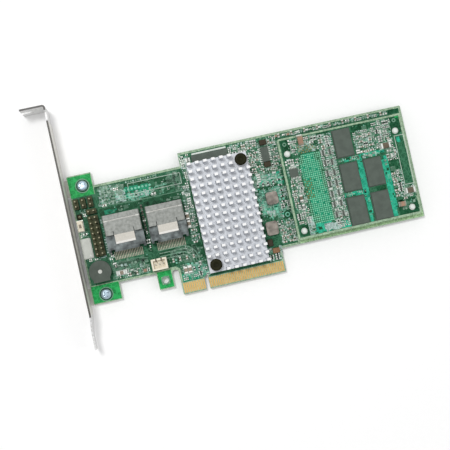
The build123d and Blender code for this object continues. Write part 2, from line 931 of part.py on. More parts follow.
# Three-way connector: an open-topped cream housing with two slots in its wall, and its posts
with BuildPart() as plug_housing:
    with BuildSketch(Plane.XY):
        with Locations((plug_x, plug_y)):
            Rectangle(plug_width, plug_depth)
    extrude(amount=plug_height)
    with BuildSketch(Plane.XY.offset(plug_height)):
        with Locations((plug_x, plug_y)):
            Rectangle(plug_width - 2 * plug_wall, plug_depth - 2 * plug_wall)
        slot_y = plug_y + (plug_depth - plug_wall) / 2
        with Locations(*[(plug_x + side * plug_slot_spread, slot_y) for side in (-1, 1)]):
            Rectangle(plug_slot_width, 2 * plug_wall)
    extrude(amount=plug_floor - plug_height, mode=Mode.SUBTRACT)
    with BuildSketch(Plane.XY):
        with Locations(*plug_pin_places):
            Rectangle(plug_hole, plug_hole)
    extrude(amount=plug_floor, mode=Mode.SUBTRACT)
write(plug_housing, "three_way_connector")
write(
    header_posts(plug_pin_places, plug_pin_size, plug_height - plug_wall, header_pin_tail),
    "three_way_connector_posts",
)


# Leaded packages, and their bent leads
def moulded_package(label, x, y, width, depth, height, base):
    """Moulded body with both halves drafted away from its parting line."""
    with BuildPart() as body:
        for side in (-1, 1):
            with BuildSketch(Plane.XY.offset(base + height / 2)):
                with Locations((x, y)):
                    Rectangle(width, depth)
            extrude(amount=side * height / 2, taper=mould_draft)
    write(body, label)


def grid_package(label, x, y, width, depth, height, base):
    """Thin substrate with a moulded cap set in from its edge."""
    with BuildPart() as body:
        with BuildSketch(Plane.XY.offset(base)):
            with Locations((x, y)):
                Rectangle(width, depth)
        extrude(amount=chip_substrate)
        with BuildSketch(Plane.XY.offset(base + chip_substrate)):
            with Locations((x, y)):
                Rectangle(width - 2 * chip_draft_inset, depth - 2 * chip_draft_inset)
        extrude(amount=height - chip_substrate, taper=mould_draft)
    write(body, label)


def gull_leads(x, y, half_width, count, pitch, along_x, base, top):
    """Leads on two opposite sides of a package, each one solid from the body to its foot."""
    toe = half_width + gull_reach
    with BuildPart() as leads:
        for side in (-1, 1):
            for number in range(count):
                shift = (number - (count - 1) / 2) * pitch
                if along_x:
                    plane = Plane((x, y + shift, base), x_dir=(side, 0, 0), z_dir=(0, -side, 0))
                else:
                    plane = Plane((x + shift, y, base), x_dir=(0, side, 0), z_dir=(side, 0, 0))
                with BuildSketch(plane):
                    with BuildLine():
                        Polyline(
                            (half_width, top),
                            (toe, gull_sheet),
                            (toe, 0),
                            (half_width, top - gull_sheet),
                            close=True,
                        )
                    make_face()
                extrude(amount=gull_width / 2, both=True)
    return leads


supply_centre = on_memory([(supply_x, supply_y)])[0]
moulded_package("flash_package", flash_x, flash_y, flash_length, flash_width, flash_height, 0)
moulded_package("logic_package", logic_x, logic_y, logic_width, logic_length, logic_height, 0)
moulded_package("regulator_package", *supply_centre, supply_size, supply_size, chip_height, memory_top)

logic_lead_set = gull_leads(
    logic_x, logic_y, logic_width / 2, logic_leads, logic_lead_pitch, True, 0, logic_height / 2
)
supply_lead_set = gull_leads(
    *supply_centre, supply_size / 2, supply_leads, supply_lead_pitch, False, memory_top, chip_height / 2
)
with BuildPart() as package_leads:
    add(logic_lead_set.part)
    add(supply_lead_set.part)
write(package_leads, "package_leads")


# Power inductors on the main board
with BuildPart() as power_inductors:
    for gap, y, length in (
        (upper_inductor_gap, upper_inductor_y, upper_inductor_length),
        (lower_inductor_gap, lower_inductor_y, lower_inductor_length),
    ):
        with BuildSketch(Plane.XY):
            with Locations((sink_x + package_size / 2 + gap + inductor_width / 2, y)):
                Rectangle(inductor_width, length)
            chamfer(vertices(), inductor_corner)
        extrude(amount=inductor_height)
write(power_inductors, "power_inductors")


def block_group(label, size, lying, standing, base=0, bevel=0):
    """Like parts on one side: lying along X, or standing along Y."""
    length, width, height = size
    with BuildPart() as group:
        with BuildSketch(Plane.XY.offset(base)):
            if lying:
                with Locations(*lying):
                    Rectangle(length, width)
            if standing:
                with Locations(*standing):
                    Rectangle(width, length)
        extrude(amount=height)
        if bevel:
            chamfer(faces().filter_by(Axis.Z).group_by(Axis.Z)[-1].edges(), bevel)
    write(group, label)


block_group(
    "tantalum_capacitors",
    tantalum_block,
    places_of(tantalums_lying),
    places_of(tantalums_standing),
    bevel=block_bevel,
)
block_group("large_capacitors", large_chip, places_of(large_chips_lying), places_of(large_chips_standing))
block_group("capacitors", middle_chip, places_of(middle_chips_lying), places_of(middle_chips_standing))
block_group("resistors", resistor_chip, places_of(resistors_lying), places_of(resistors_standing))

# Memory board: a raised board on four spacers, joined to the main board by a two-part connector
with BuildPart() as memory_board:
    with BuildSketch(Plane.XY.offset(memory_bottom)):
        with Locations((memory_x + memory_width / 2, memory_y + memory_depth / 2)):
            Rectangle(memory_width, memory_depth)
        chamfer(vertices(), memory_corner)
        with Locations(*spacers):
            RegularPolygon(spacer_shaft_radius + spacer_gap, covered_sides, mode=Mode.SUBTRACT)
    extrude(amount=memory_thickness)
write(memory_board, "memory_board")

with BuildPart() as spacer_shape:
    with BuildSketch():
        RegularPolygon(spacer_body_radius, 6)
    extrude(amount=memory_bottom)
    with BuildSketch(Plane.XY.offset(memory_bottom)):
        RegularPolygon(spacer_shaft_radius, covered_sides)
    extrude(amount=memory_thickness)
    with BuildSketch(Plane.XY.offset(memory_top)):
        RegularPolygon(spacer_head_radius, 2 * covered_sides)
    extrude(amount=spacer_head_height, taper=spacer_head_taper)

with BuildPart() as board_spacers:
    with Locations(*spacers):
        add(spacer_shape.part)
write(board_spacers, "board_spacers")

link_centre = on_memory([(link_x, link_y)])[0]
with BuildPart() as link_socket:
    with BuildSketch(Plane.XY):
        with Locations(link_centre):
            Rectangle(link_width, link_length)
    extrude(amount=link_socket_height)
    with BuildSketch(Plane.XY.offset(link_socket_height)):
        with Locations(link_centre):
            Rectangle(link_width - 2 * link_wall, link_length - 2 * link_wall)
    extrude(amount=-link_recess, mode=Mode.SUBTRACT)
write(link_socket, "board_link_socket")

with BuildPart() as link_plug:
    with BuildSketch(Plane.XY.offset(memory_bottom)):
        with Locations(link_centre):
            Rectangle(link_width, link_length)
    extrude(amount=link_socket_height - memory_bottom)
    with BuildSketch(Plane.XY.offset(link_socket_height)):
        with Locations(link_centre):
            Rectangle(link_key_width, link_length - 2 * link_wall - 2 * link_key_gap)
    extrude(amount=-link_recess)
write(link_plug, "board_link_plug")

for number, (x, y) in enumerate(memory_chips, start=1):
    grid_package(f"memory_chip_{number}", x, y, chip_width, chip_length, chip_height, memory_top)

block_group("memory_resistor_arrays", array_chip, on_memory(places_of(arrays_lying)), [], memory_top)
block_group("memory_capacitors", middle_chip, on_memory(places_of(memory_chips_lying)), [], memory_top)
block_group(
    "memory_large_capacitors",
    memory_block,
    on_memory(places_of(memory_blocks_lying)),
    on_memory(places_of(memory_blocks_standing)),
    memory_top,
    block_bevel,
)
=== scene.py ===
"""Looks of the storage adapter card: its materials, solder, traces, leads and small parts, and the studio.

Lengths are in millimetres in the helpers and become metres when a mesh is finished.
"""
import math
import random

import bmesh
import bpy
from mathutils import Matrix, Vector


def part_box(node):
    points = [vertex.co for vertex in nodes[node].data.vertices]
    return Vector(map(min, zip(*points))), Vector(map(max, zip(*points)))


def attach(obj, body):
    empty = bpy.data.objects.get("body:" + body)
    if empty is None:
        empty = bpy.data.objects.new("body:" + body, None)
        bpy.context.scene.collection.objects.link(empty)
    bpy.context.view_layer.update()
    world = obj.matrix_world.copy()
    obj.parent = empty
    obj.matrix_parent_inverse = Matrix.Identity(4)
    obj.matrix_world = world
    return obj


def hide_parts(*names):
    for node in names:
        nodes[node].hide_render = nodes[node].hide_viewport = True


MM = 0.001
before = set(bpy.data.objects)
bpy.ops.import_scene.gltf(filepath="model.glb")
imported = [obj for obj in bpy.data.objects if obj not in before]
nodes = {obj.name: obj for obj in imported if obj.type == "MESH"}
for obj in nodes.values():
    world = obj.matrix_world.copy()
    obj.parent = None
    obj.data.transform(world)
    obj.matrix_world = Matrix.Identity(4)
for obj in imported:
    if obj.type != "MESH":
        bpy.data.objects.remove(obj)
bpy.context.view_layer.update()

# Heights of the main board's two sides, and the share of light that a surface sends back
FRONT = 0.0
BACK = -1.57
REFLECTED = 0.92


# Materials


def linear(red, green, blue):
    """Turns a colour as seen, from 0 to 255, into scene values; the studio light makes up for REFLECTED."""
    out = []
    for value in (red, green, blue):
        share = value / 255
        share = share / 12.92 if share <= 0.04045 else ((share + 0.055) / 1.055) ** 2.4
        out.append(share * REFLECTED)
    return (*out, 1.0)


def scaled(colour, factor, lift=0.0):
    """A brighter or darker tone of a colour in scene values."""
    return (*[min(1.0, value * factor + lift) for value in colour[:3]], 1.0)


class Tree:
    """Adds nodes to a node tree, and links them."""

    def __init__(self, tree):
        self.tree = tree

    def add(self, kind, **settings):
        node = self.tree.nodes.new(kind)
        for key, value in settings.items():
            setattr(node, key, value)
        return node

    def link(self, source, target):
        self.tree.links.new(source, target)

    def feed(self, socket, value):
        """Gives a socket a plain value, or what another socket gives."""
        if isinstance(value, (int, float, tuple)):
            socket.default_value = value
        else:
            self.link(value, socket)

    def math(self, operation, first, second):
        node = self.add("ShaderNodeMath", operation=operation)
        self.feed(node.inputs[0], first)
        self.feed(node.inputs[1], second)
        return node.outputs[0]

    def vector(self, operation, source, by):
        node = self.add("ShaderNodeVectorMath", operation=operation)
        self.link(source, node.inputs[0])
        node.inputs[1].default_value = by
        return node.outputs[0]

    def spread(self, source, low, high, start=0.0, end=1.0):
        """Goes from low to high while the source goes from start to end."""
        node = self.add("ShaderNodeMapRange")
        self.link(source, node.inputs["Value"])
        for name, value in (("From Min", start), ("From Max", end), ("To Min", low), ("To Max", high)):
            node.inputs[name].default_value = value
        return node.outputs["Result"]

    def shown(self):
        """1 for rays that show a surface, straight or in a reflection, and 0 for those that light others."""
        rays = self.add("ShaderNodeLightPath").outputs
        mirrored = self.math("MAXIMUM", rays["Is Camera Ray"], rays["Is Glossy Ray"])
        return self.math("MAXIMUM", mirrored, rays["Is Transmission Ray"])


class Shader(Tree):
    """The nodes round one Principled shader, with positions in millimetres."""

    def __init__(self, name):
        self.material = bpy.data.materials.new(name)
        self.material.use_nodes = True
        super().__init__(self.material.node_tree)
        self.main = self.tree.nodes["Principled BSDF"]
        metres = self.add("ShaderNodeTexCoord").outputs["Object"]
        self.place = self.vector("MULTIPLY", metres, (1 / MM, 1 / MM, 1 / MM))

    def set(self, name, value):
        self.feed(self.main.inputs[name], value)

    def axes(self):
        """The three coordinates of the place, by the names X, Y and Z."""
        split = self.add("ShaderNodeSeparateXYZ")
        self.link(self.place, split.inputs[0])
        return split.outputs

    def noise(self, size, detail=3, stretch=(1, 1, 1)):
        """Noise whose blotches are about size millimetres across."""
        node = self.add("ShaderNodeTexNoise")
        node.inputs["Scale"].default_value = 1 / size
        node.inputs["Detail"].default_value = detail
        self.link(self.vector("MULTIPLY", self.place, stretch), node.inputs["Vector"])
        return node.outputs["Fac"]

    def ramp(self, source, start, end, first, second):
        """Goes from a first to a second colour between two values of the source."""
        node = self.add("ShaderNodeValToRGB")
        for element, position, colour in zip(node.color_ramp.elements, (start, end), (first, second)):
            element.position = position
            element.color = colour
        self.link(source, node.inputs["Fac"])
        return node.outputs["Color"]

    def mix(self, factor, first, second):
        node = self.add("ShaderNodeMix", data_type="RGBA")
        self.link(factor, node.inputs["Factor"])
        self.feed(node.inputs[6], first)
        self.feed(node.inputs[7], second)
        return node.outputs[2]

    def bump(self, height, distance, strength=0.6):
        """Raises the surface by a height from 0 to 1, over a distance in millimetres."""
        node = self.add("ShaderNodeBump")
        node.inputs["Strength"].default_value = strength
        node.inputs["Distance"].default_value = distance * MM
        self.link(height, node.inputs["Height"])
        self.set("Normal", node.outputs["Normal"])

    def colour(self, source):
        self.set("Base Color", source)

    def rough(self, source, low, high):
        self.set("Roughness", self.spread(source, low, high))


def moulded(name, colour, roughness=0.5, grain=0.25, variation=0.12, specular=0.2):
    """Moulded or ceramic surface: fine grain, slight change of tone, uneven gloss."""
    shader = Shader(name)
    base = linear(*colour)
    blotch = shader.noise(3.0, 4)
    shader.colour(shader.ramp(blotch, 0.35, 0.65, scaled(base, 1 - variation), scaled(base, 1 + variation)))
    fine = shader.noise(grain, 2)
    shader.rough(fine, roughness - 0.07, roughness + 0.07)
    shader.bump(fine, 0.02)
    shader.set("Specular IOR Level", specular)
    return shader.material


def metal(name, colour, roughness, variation, metallic, grain=(1, 1, 1)):
    """Plated or drawn metal: brushed along the grain, with a faint mottle."""
    shader = Shader(name)
    base = linear(*colour)
    lines = shader.noise(0.35, 3, grain)
    tone = shader.math("MULTIPLY", shader.math("ADD", lines, shader.noise(6.0, 3)), 0.5)
    shader.colour(shader.ramp(tone, 0.38, 0.62, scaled(base, 1 - variation), scaled(base, 1 + variation)))
    shader.rough(lines, roughness - 0.08, roughness + 0.1)
    shader.bump(lines, 0.012, 0.4)
    shader.set("Metallic", metallic)
    return shader.material


def solder_mask(name, dark, light, contrast, gloss=0.34):
    """Mask over copper: traces show as paler lines, and the pour as a slow change of tone."""
    shader = Shader(name)
    lines = []
    for size, move in ((1.7, 0.0), (3.1, 7.3)):
        place = shader.vector("ADD", shader.place, (move, move * 0.6, 0))
        distances = []
        for feature in ("F1", "F2"):
            cell = shader.add("ShaderNodeTexVoronoi", feature=feature, distance="MANHATTAN")
            cell.inputs["Scale"].default_value = 1 / size
            shader.link(place, cell.inputs["Vector"])
            distances.append(cell.outputs["Distance"])
        gap = shader.math("SUBTRACT", distances[1], distances[0])
        lines.append(shader.math("LESS_THAN", gap, 0.11))
    line = shader.math("MAXIMUM", *lines)
    reach = contrast * 0.24
    area = shader.ramp(shader.noise(5.0, 4), 0.5 - reach, 0.5 + reach, linear(*dark), linear(*light))
    paler = scaled(linear(*light), 1.55, 0.015)
    shader.colour(shader.mix(shader.math("MULTIPLY", line, 0.55), area, paler))
    shader.rough(shader.noise(0.3, 2), gloss + 0.04, gloss + 0.16)
    shader.bump(line, 0.03, 0.5)
    shader.set("Specular IOR Level", 0.1)
    return shader.material


def heatsink_material():
    """Anodised extrusion whose fin tops are painted white, a painted highlight of the light from above,
    streaked by saw marks.
    """
    fin_tops = 11.86
    shader = Shader("anodised_heatsink")
    # Painted highlight: everything above the fin tops' height is coloured white, as if lit from above
    high = shader.math("GREATER_THAN", shader.axes()["Z"], fin_tops)
    low = shader.ramp(shader.noise(4.0, 3), 0.3, 0.7, linear(213.9, 216.69, 221.34), linear(230, 233, 238))
    saw = shader.noise(0.25, 2, (1, 6, 1))
    # Colour of the painted highlight on the fin tops
    top = shader.ramp(saw, 0.3, 0.7, linear(242.25, 242.25, 242.25), linear(255, 255, 255))
    shader.colour(shader.mix(high, low, top))
    shader.rough(saw, 0.37, 0.57)
    shader.bump(saw, 0.02, 0.4)
    shader.set("Metallic", 0.06)
    return shader.material


def shell_material():
    """Tin-plated sheet: grey roof with a painted highlight along its crease, a tongue painted paler as a
    painted highlight of its slope, and a painted highlight on its fold.
    """
    crease_start, crease_end = 42.9, 43.4
    tongue_end, fold_end = 35.9, 32.4
    shader = Shader("port_shell_sheet")
    along = shader.axes()["Y"]
    lines = shader.noise(0.3, 3, (1, 0.1, 1))
    roof = shader.ramp(shader.noise(1.4, 4), 0.3, 0.7, linear(116, 119, 114), linear(150, 153, 148))
    # Painted highlight: the tongue is paler where its slope faces the light
    pale = shader.ramp(lines, 0.35, 0.65, linear(212, 208, 198), linear(224, 220, 210))
    # Painted highlight colour for the crease and the fold
    painted_highlight = linear(242, 240, 234)
    past_start = shader.math("GREATER_THAN", along, crease_start)
    crease_highlight = shader.math("MULTIPLY", past_start, shader.math("LESS_THAN", along, crease_end))
    sheet = shader.mix(shader.math("MULTIPLY", crease_highlight, 0.5), roof, painted_highlight)
    sheet = shader.mix(shader.math("LESS_THAN", along, tongue_end), sheet, pale)
    shader.colour(shader.mix(shader.math("LESS_THAN", along, fold_end), sheet, painted_highlight))
    shader.rough(lines, 0.36, 0.5)
    shader.bump(lines, 0.01, 0.3)
    shader.set("Metallic", 0.15)
    return shader.material


def bracket_material():
    """Zinc-plated sheet: brushed, dark along its sheared outer edge, with painted highlights at the neck and
    the taper.
    """
    neck_start, taper_end = 95.5, 0.5
    edge_height, edge_side = 14.2, -58.1
    shader = Shader("zinc_bracket")
    axes = shader.axes()
    across, along, up = (axes[name] for name in "XYZ")
    lines = shader.noise(0.35, 3, (1, 0.08, 1))
    plain = shader.ramp(lines, 0.35, 0.65, linear(216, 214, 208), linear(238, 236, 230))
    # Painted highlight where the neck and the taper reflect the light
    painted_highlight = shader.ramp(shader.noise(0.8, 4), 0.3, 0.7, linear(206, 206, 204), linear(244, 244, 244))
    past_neck = shader.math("GREATER_THAN", along, neck_start)
    # ends marks the neck and the taper, which get the painted highlight
    ends = shader.math("MAXIMUM", past_neck, shader.math("LESS_THAN", along, taper_end))
    above = shader.math("GREATER_THAN", up, edge_height)
    sheared = shader.math("MULTIPLY", above, shader.math("LESS_THAN", across, edge_side))
    sheet = shader.mix(ends, plain, painted_highlight)
    shader.colour(shader.mix(shader.math("MULTIPLY", sheared, 0.9), sheet, linear(40, 36, 30)))
    shader.rough(lines, 0.36, 0.5)
    shader.bump(lines, 0.012, 0.4)
    shader.set("Metallic", 0.12)
    shader.set("Specular IOR Level", 0.2)
    return shader.material


LAMINATE = solder_mask("laminate_edge", (134, 160, 134), (158, 182, 154), 0.8, 0.42)
# Painted light: the pale laminate rim, brighter than the edge elsewhere to lift the memory board's shade on
# it
LIT_RIM = solder_mask("laminate_rim_lit", (152, 190, 142), (180, 216, 166), 0.8, 0.42)
POUR = solder_mask("mask_over_copper", (14, 78, 48), (52, 108, 78), 1.0)
BRIGHT = solder_mask("mask_bright", (18, 126, 62), (34, 164, 84), 0.6, 0.3)
DEEP = solder_mask("mask_deep", (8, 60, 34), (18, 82, 50), 0.6, 0.3)
TEAL = solder_mask("mask_teal", (24, 144, 112), (48, 174, 140), 0.7, 0.3)
DARK_TEAL = solder_mask("mask_dark_teal", (8, 114, 82), (28, 142, 106), 0.7, 0.3)
PALE = solder_mask("mask_pale", (138, 164, 156), (172, 194, 188), 1.0, 0.4)
GREY_GREEN = solder_mask("mask_grey_green", (96, 126, 108), (130, 158, 140), 1.0, 0.4)
TRACE = moulded("mask_over_traces", (116, 158, 134), 0.36, 0.3, 0.2)
TRACE_TEAL = moulded("mask_over_teal_traces", (128, 204, 176), 0.36, 0.3, 0.2)
VIA = moulded("mask_over_vias", (150, 230, 190), 0.36, 0.3, 0.2)
OCHRE = moulded("dull_gold_vias", (158, 146, 92), 0.4, 0.3, 0.2)
INK = moulded("board_ink", (206, 220, 208), 0.6, 0.15, 0.1)
TIN = metal("tinned_metal", (216, 217, 212), 0.36, 0.08, 0.5)
SOLDER = metal("solder", (196, 202, 196), 0.32, 0.12, 0.55)
GOLD = metal("gold_plating", (213, 171, 95), 0.4, 0.08, 0.2, (1, 0.15, 1))
POST = metal("gold_posts", (172, 166, 136), 0.4, 0.08, 0.2, (1, 1, 0.2))
LEAD = metal("port_leads", (164, 158, 142), 0.36, 0.3, 0.35)
SCREW = metal("zinc_screw", (164, 184, 196), 0.3, 0.08, 0.5)
SPRING = metal("spring_wire", (170, 168, 162), 0.3, 0.05, 0.9)
NICKEL = metal("nickel_lid", (170, 170, 168), 0.35, 0.05, 0.9)
SINK = heatsink_material()
BLACK = moulded("black_nylon", (30, 30, 8), 0.55, 0.25, 0.2, 0.12)
HEADER = moulded("header_nylon", (64, 68, 42), 0.5, 0.25, 0.25, 0.15)
HOUSING = moulded("port_nylon", (110, 118, 118), 0.5, 0.8, 0.6)
EPOXY = moulded("chip_epoxy", (88, 98, 90), 0.55, 0.2, 0.1)
BUZZER = moulded("buzzer_case", (82, 91, 83), 0.55, 0.25, 0.12)
CREAM = moulded("cream_nylon", (244, 236, 216), 0.5, 0.3, 0.08)
WHITE = moulded("white_nylon", (234, 240, 234), 0.5, 0.3, 0.06)
CERAMIC = moulded("pale_ceramic", (214, 217, 210), 0.4, 0.3, 0.06)
TAN = moulded("capacitor_ceramic", (150, 138, 120), 0.45, 0.2, 0.2)
BROWN = moulded("brown_ceramic", (108, 98, 82), 0.45, 0.2, 0.2)
GREY = moulded("grey_ceramic", (146, 152, 146), 0.45, 0.2, 0.2)
GLAZE = moulded("resistor_glaze", (40, 48, 42), 0.35, 0.2, 0.2)
ARRAY = moulded("array_body", (84, 92, 84), 0.45, 0.2, 0.2)
ORANGE = moulded("orange_ceramic", (170, 136, 114), 0.45, 0.2, 0.15)
FERRITE = moulded("ferrite", (148, 141, 132), 0.6, 0.5, 0.4)
TANTALUM = moulded("tantalum_case", (54, 46, 30), 0.5, 0.2, 0.2)
ORANGE_BROWN = moulded("orange_brown_case", (146, 108, 78), 0.5, 0.2, 0.25)
PAD = moulded("gap_pad", (150, 152, 156), 0.7, 0.3, 0.1)
# Painted shade: a dark disc standing in for the inside of an open via hole
HOLE_SHADE = moulded("via_hole_shade", (24, 30, 26), 0.7, 0.3, 0.1)
LENS = moulded("lamp_lens", (112, 108, 86), 0.15, 0.3, 0.05)


# Mesh helpers


def circle(x, y, radius, count, turn=0.0):
    """Points of a circle, from the angle turn onwards."""
    angles = [turn + 2 * math.pi * number / count for number in range(count)]
    return [(x + radius * math.cos(angle), y + radius * math.sin(angle)) for angle in angles]


class Shape:
    """Collects faces in millimetres, and turns them into one piece."""

    def __init__(self, name, slot, materials, replaces=()):
        self.name = name
        self.slot = slot
        self.materials = materials
        self.replaces = replaces
        self.mesh = bmesh.new()

    def loop(self, points):
        return [self.mesh.verts.new(point) for point in points]

    def level(self, points, z):
        """Ring of corners at one height."""
        return self.loop([(x, y, z) for x, y in points])

    def skin(self, corners, index, smooth=False):
        face = self.mesh.faces.new(corners)
        face.material_index = index
        face.smooth = smooth

    def join(self, rings, index=0, close=False, smooth=False):
        """Skins closed rings of equal count, and caps both ends."""
        for lower, upper in zip(rings, rings[1:]):
            for number, corner in enumerate(lower):
                after = (number + 1) % len(lower)
                self.skin((corner, lower[after], upper[after], upper[number]), index, smooth)
        if close:
            self.skin(rings[0][::-1], index)
            self.skin(rings[-1], index)

    def block(self, x0, x1, y0, y1, z0, z1, edge=0.0, index=0):
        """Box with its upper edges chamfered."""
        rings = []
        for z, inset in ((z0, 0), (z1 - edge, 0), (z1, edge)) if edge else ((z0, 0), (z1, 0)):
            a0, a1, b0, b1 = x0 + inset, x1 - inset, y0 + inset, y1 - inset
            rings.append(self.level(((a0, b0), (a1, b0), (a1, b1), (a0, b1)), z))
        self.join(rings, index, close=True)

    def lathe(self, x, y, profile, sides, index=0):
        """Turns (radius, height) pairs round an upright axis."""
        rings = [self.level(circle(x, y, radius, sides), z) for radius, z in profile]
        self.join(rings, index, close=True, smooth=True)

    def prism(self, points, z0, z1, index=0):
        """Plate with any outline."""
        self.join([self.level(points, z) for z in (z0, z1)], index, close=True)

    def disc(self, x, y, radius, z0, z1, sides, index=0):
        self.prism(circle(x, y, radius, sides, math.pi / sides), z0, z1, index)

    def ring(self, x, y, inner, outer, z0, z1, sides, index=0):
        """Flat washer."""
        section = ((inner, z0), (outer, z0), (outer, z1), (inner, z1))
        rings = list(zip(*[self.level(circle(x, y, radius, sides), z) for radius, z in section]))
        self.join([*rings, rings[0]], index)

    def strip(self, points, width, z0, z1, index=0):
        """Thin bar of one width along corners, mitred at each."""
        corners = [Vector(point) for point in points]
        legs = [(after - before).normalized() for before, after in zip(corners, corners[1:])]
        sides = [Vector((-leg.y, leg.x)) for leg in legs]
        rings = []
        for number, corner in enumerate(corners):
            near = sides[max(0, number - 1):number + 1]
            side = sum(near, Vector((0.0, 0.0))).normalized()
            reach = side * (width / 2 / max(0.4, side.dot(near[0])))
            left, right = corner + reach, corner - reach
            rings.append(self.loop(((*left, z0), (*right, z0), (*right, z1), (*left, z1))))
        self.join(rings, index, close=True)

    def done(self, recalculate=False):
        bmesh.ops.scale(self.mesh, vec=(MM, MM, MM), verts=self.mesh.verts)
        if recalculate:
            bmesh.ops.recalc_face_normals(self.mesh, faces=self.mesh.faces)
        mesh = bpy.data.meshes.new(self.name)
        self.mesh.to_mesh(mesh)
        self.mesh.free()
        for material in self.materials:
            mesh.materials.append(material)
        piece = bpy.data.objects.new(self.name, mesh)
        bpy.context.scene.collection.objects.link(piece)
        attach(piece, "root")
        if self.replaces:
            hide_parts(*self.replaces)


def solids_of(node):
    """Boxes, in millimetres, of the separate solids in a CAD node."""
    work = bmesh.new()
    work.from_mesh(nodes[node].data)
    bmesh.ops.remove_doubles(work, verts=work.verts, dist=1e-6)
    seen = set()
    boxes = []
    for start in work.verts:
        if start in seen:
            continue
        stack = [start]
        seen.add(start)
        group = []
        while stack:
            vertex = stack.pop()
            group.append(vertex.co / MM)
            for edge in vertex.link_edges:
                other = edge.other_vert(vertex)
                if other not in seen:
                    seen.add(other)
                    stack.append(other)
        low = [min(values) for values in zip(*group)]
        high = [max(values) for values in zip(*group)]
        boxes.append((low, high))
    work.free()
    return sorted(boxes)


def box_of(node):
    low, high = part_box(node)
    return low / MM, high / MM


def middle_of(low, high):
    return (low[0] + high[0]) / 2, (low[1] + high[1]) / 2


def dress(material, *names):
    """Gives carried-over CAD nodes their material."""
    for name in names:
        data = nodes[name].data
        data.materials.clear()
        data.materials.append(material)
        for polygon in data.polygons:
            polygon.material_index = 0


dress(LAMINATE, "main_board", "memory_board")
dress(GOLD, "edge_contacts_front", "edge_contacts_back")
dress(SINK, "heatsink")
dress(DEEP, "controller_package")
dress(NICKEL, "controller_lid")
dress(PAD, "thermal_pad")
dress(HEADER, "pin_header_body", "two_pin_header_body", "jumper_header_bodies")
dress(HOUSING, "sas_port_1_housing", "sas_port_2_housing")
dress(LEAD, "sas_port_1_contacts", "sas_port_2_contacts")
dress(BUZZER, "buzzer")
dress(EPOXY, "flash_package", "logic_package", "regulator_package")
dress(EPOXY, *[f"memory_chip_{number}" for number in range(1, 6)])
dress(CREAM, "three_way_connector")
dress(WHITE, "board_spacers")
dress(FERRITE, "power_inductors")
dress(BLACK, "board_link_socket", "board_link_plug")
dress(TANTALUM, "tantalum_capacitors")
dress(bracket_material(), "bracket")
dress(shell_material(), "sas_port_1_shell", "sas_port_2_shell")

# The lowest tantalum capacitor has an orange brown case
LOWEST = 13 * MM
capacitor_mesh = nodes["tantalum_capacitors"].data
capacitor_mesh.materials.append(ORANGE_BROWN)
for polygon in capacitor_mesh.polygons:
    if polygon.center.y < LOWEST:
        polygon.material_index = 1


# Camera, floor and light


scene = bpy.context.scene


def add_camera():
    """The photograph's camera, fitted to known places of the card."""
    camera_data = bpy.data.cameras.new("camera")
    camera_data.lens = 80
    camera_data.sensor_width = 36
    camera_data.clip_start = 0.01
    camera = bpy.data.objects.new("camera", camera_data)
    scene.collection.objects.link(camera)
    right = Vector((0.97353749, -0.21791689, 0.06882573))
    down = Vector((-0.21619961, -0.97583845, -0.0315762))
    ahead = Vector((0.07404378, 0.01586051, -0.99712886))
    turn = Matrix((right, -down, -ahead)).transposed().to_4x4()
    camera.matrix_world = Matrix.Translation(Vector((-21.997, 21.274, 494.127)) * MM) @ turn
    scene.camera = camera


def add_floor():
    """White paper just below the bracket; it glows a little where the camera sees it, more so far away."""
    floor_mesh = bpy.data.meshes.new("floor")
    grid = bmesh.new()
    bmesh.ops.create_grid(grid, x_segments=8, y_segments=8, size=2.0)
    grid.to_mesh(floor_mesh)
    grid.free()
    floor = bpy.data.objects.new("floor", floor_mesh)
    scene.collection.objects.link(floor)
    floor.location = (0, 0, box_of("bracket")[0].z * MM - 0.00002)
    shader = Shader("white_floor")
    shader.set("Roughness", 0.9)
    shader.set("Specular IOR Level", 0.0)
    shader.set("Emission Color", (1, 1, 1, 1))
    shader.colour(shader.ramp(shader.noise(2.0, 3), 0.3, 0.7, (0.93, 0.93, 0.93, 1), (0.95, 0.95, 0.95, 1)))
    distance = shader.add("ShaderNodeVectorMath", operation="LENGTH")
    shader.link(shader.place, distance.inputs[0])
    glow = shader.spread(distance.outputs["Value"], 0.1, 0.8, 160, 1100)
    shader.set("Emission Strength", shader.math("MULTIPLY", shader.shown(), glow))
    floor_mesh.materials.append(shader.material)


def add_surroundings():
    """White all round: dimmer as a light than it looks to the camera and in reflections."""
    world = bpy.data.worlds.new("studio")
    scene.world = world
    world.use_nodes = True
    tree = Tree(world.node_tree)
    background = tree.tree.nodes["Background"]
    background.inputs["Color"].default_value = (1, 1, 1, 1)
    tree.link(tree.spread(tree.shown(), 0.56, 1.0), background.inputs["Strength"])


def add_lamps():
    card_middle = Vector((0.02, 0.035, 0))
    for name, place, size, power in (
        ("key", (-0.22, 0.26, 1.08), 0.2, 5.0),
        ("fill", (0.8, -0.1, 0.8), 0.9, 1.3),
    ):
        lamp_data = bpy.data.lights.new(name, "AREA")
        lamp_data.shape = "DISK"
        lamp_data.size = size
        lamp_data.energy = power
        light = bpy.data.objects.new(name, lamp_data)
        scene.collection.objects.link(light)
        light.location = Vector(place) + card_middle
        light.rotation_euler = (-Vector(place)).to_track_quat("-Z", "Y").to_euler()


add_camera()
add_floor()
add_surroundings()
add_lamps()
scene.view_settings.view_transform = "Standard"


# Board surfaces: the pour stops short of the edges, and some areas are brighter or deeper

TOP = box_of("memory_board")[1].z
HOLE_X, HOLE_Y, HOLE_RADIUS = -19.8, 8.9, 1.5
draw = random.Random(11)

# Heights of what is printed or plated, above its board
POUR_UP = 0.012
TAB_UP = 0.02
AREA_UP = 0.016
PATH_UP = 0.034
BOLD_UP = 0.036
INK_UP = 0.046
FRAME_UP = 0.047
PAD_UP = 0.05

# The last number of an area is its place in this list
MASKS = [POUR, BRIGHT, DEEP, TEAL, PALE, GREY_GREEN, DARK_TEAL, LIT_RIM]
surface = Shape("mask_areas", "board_green", MASKS)


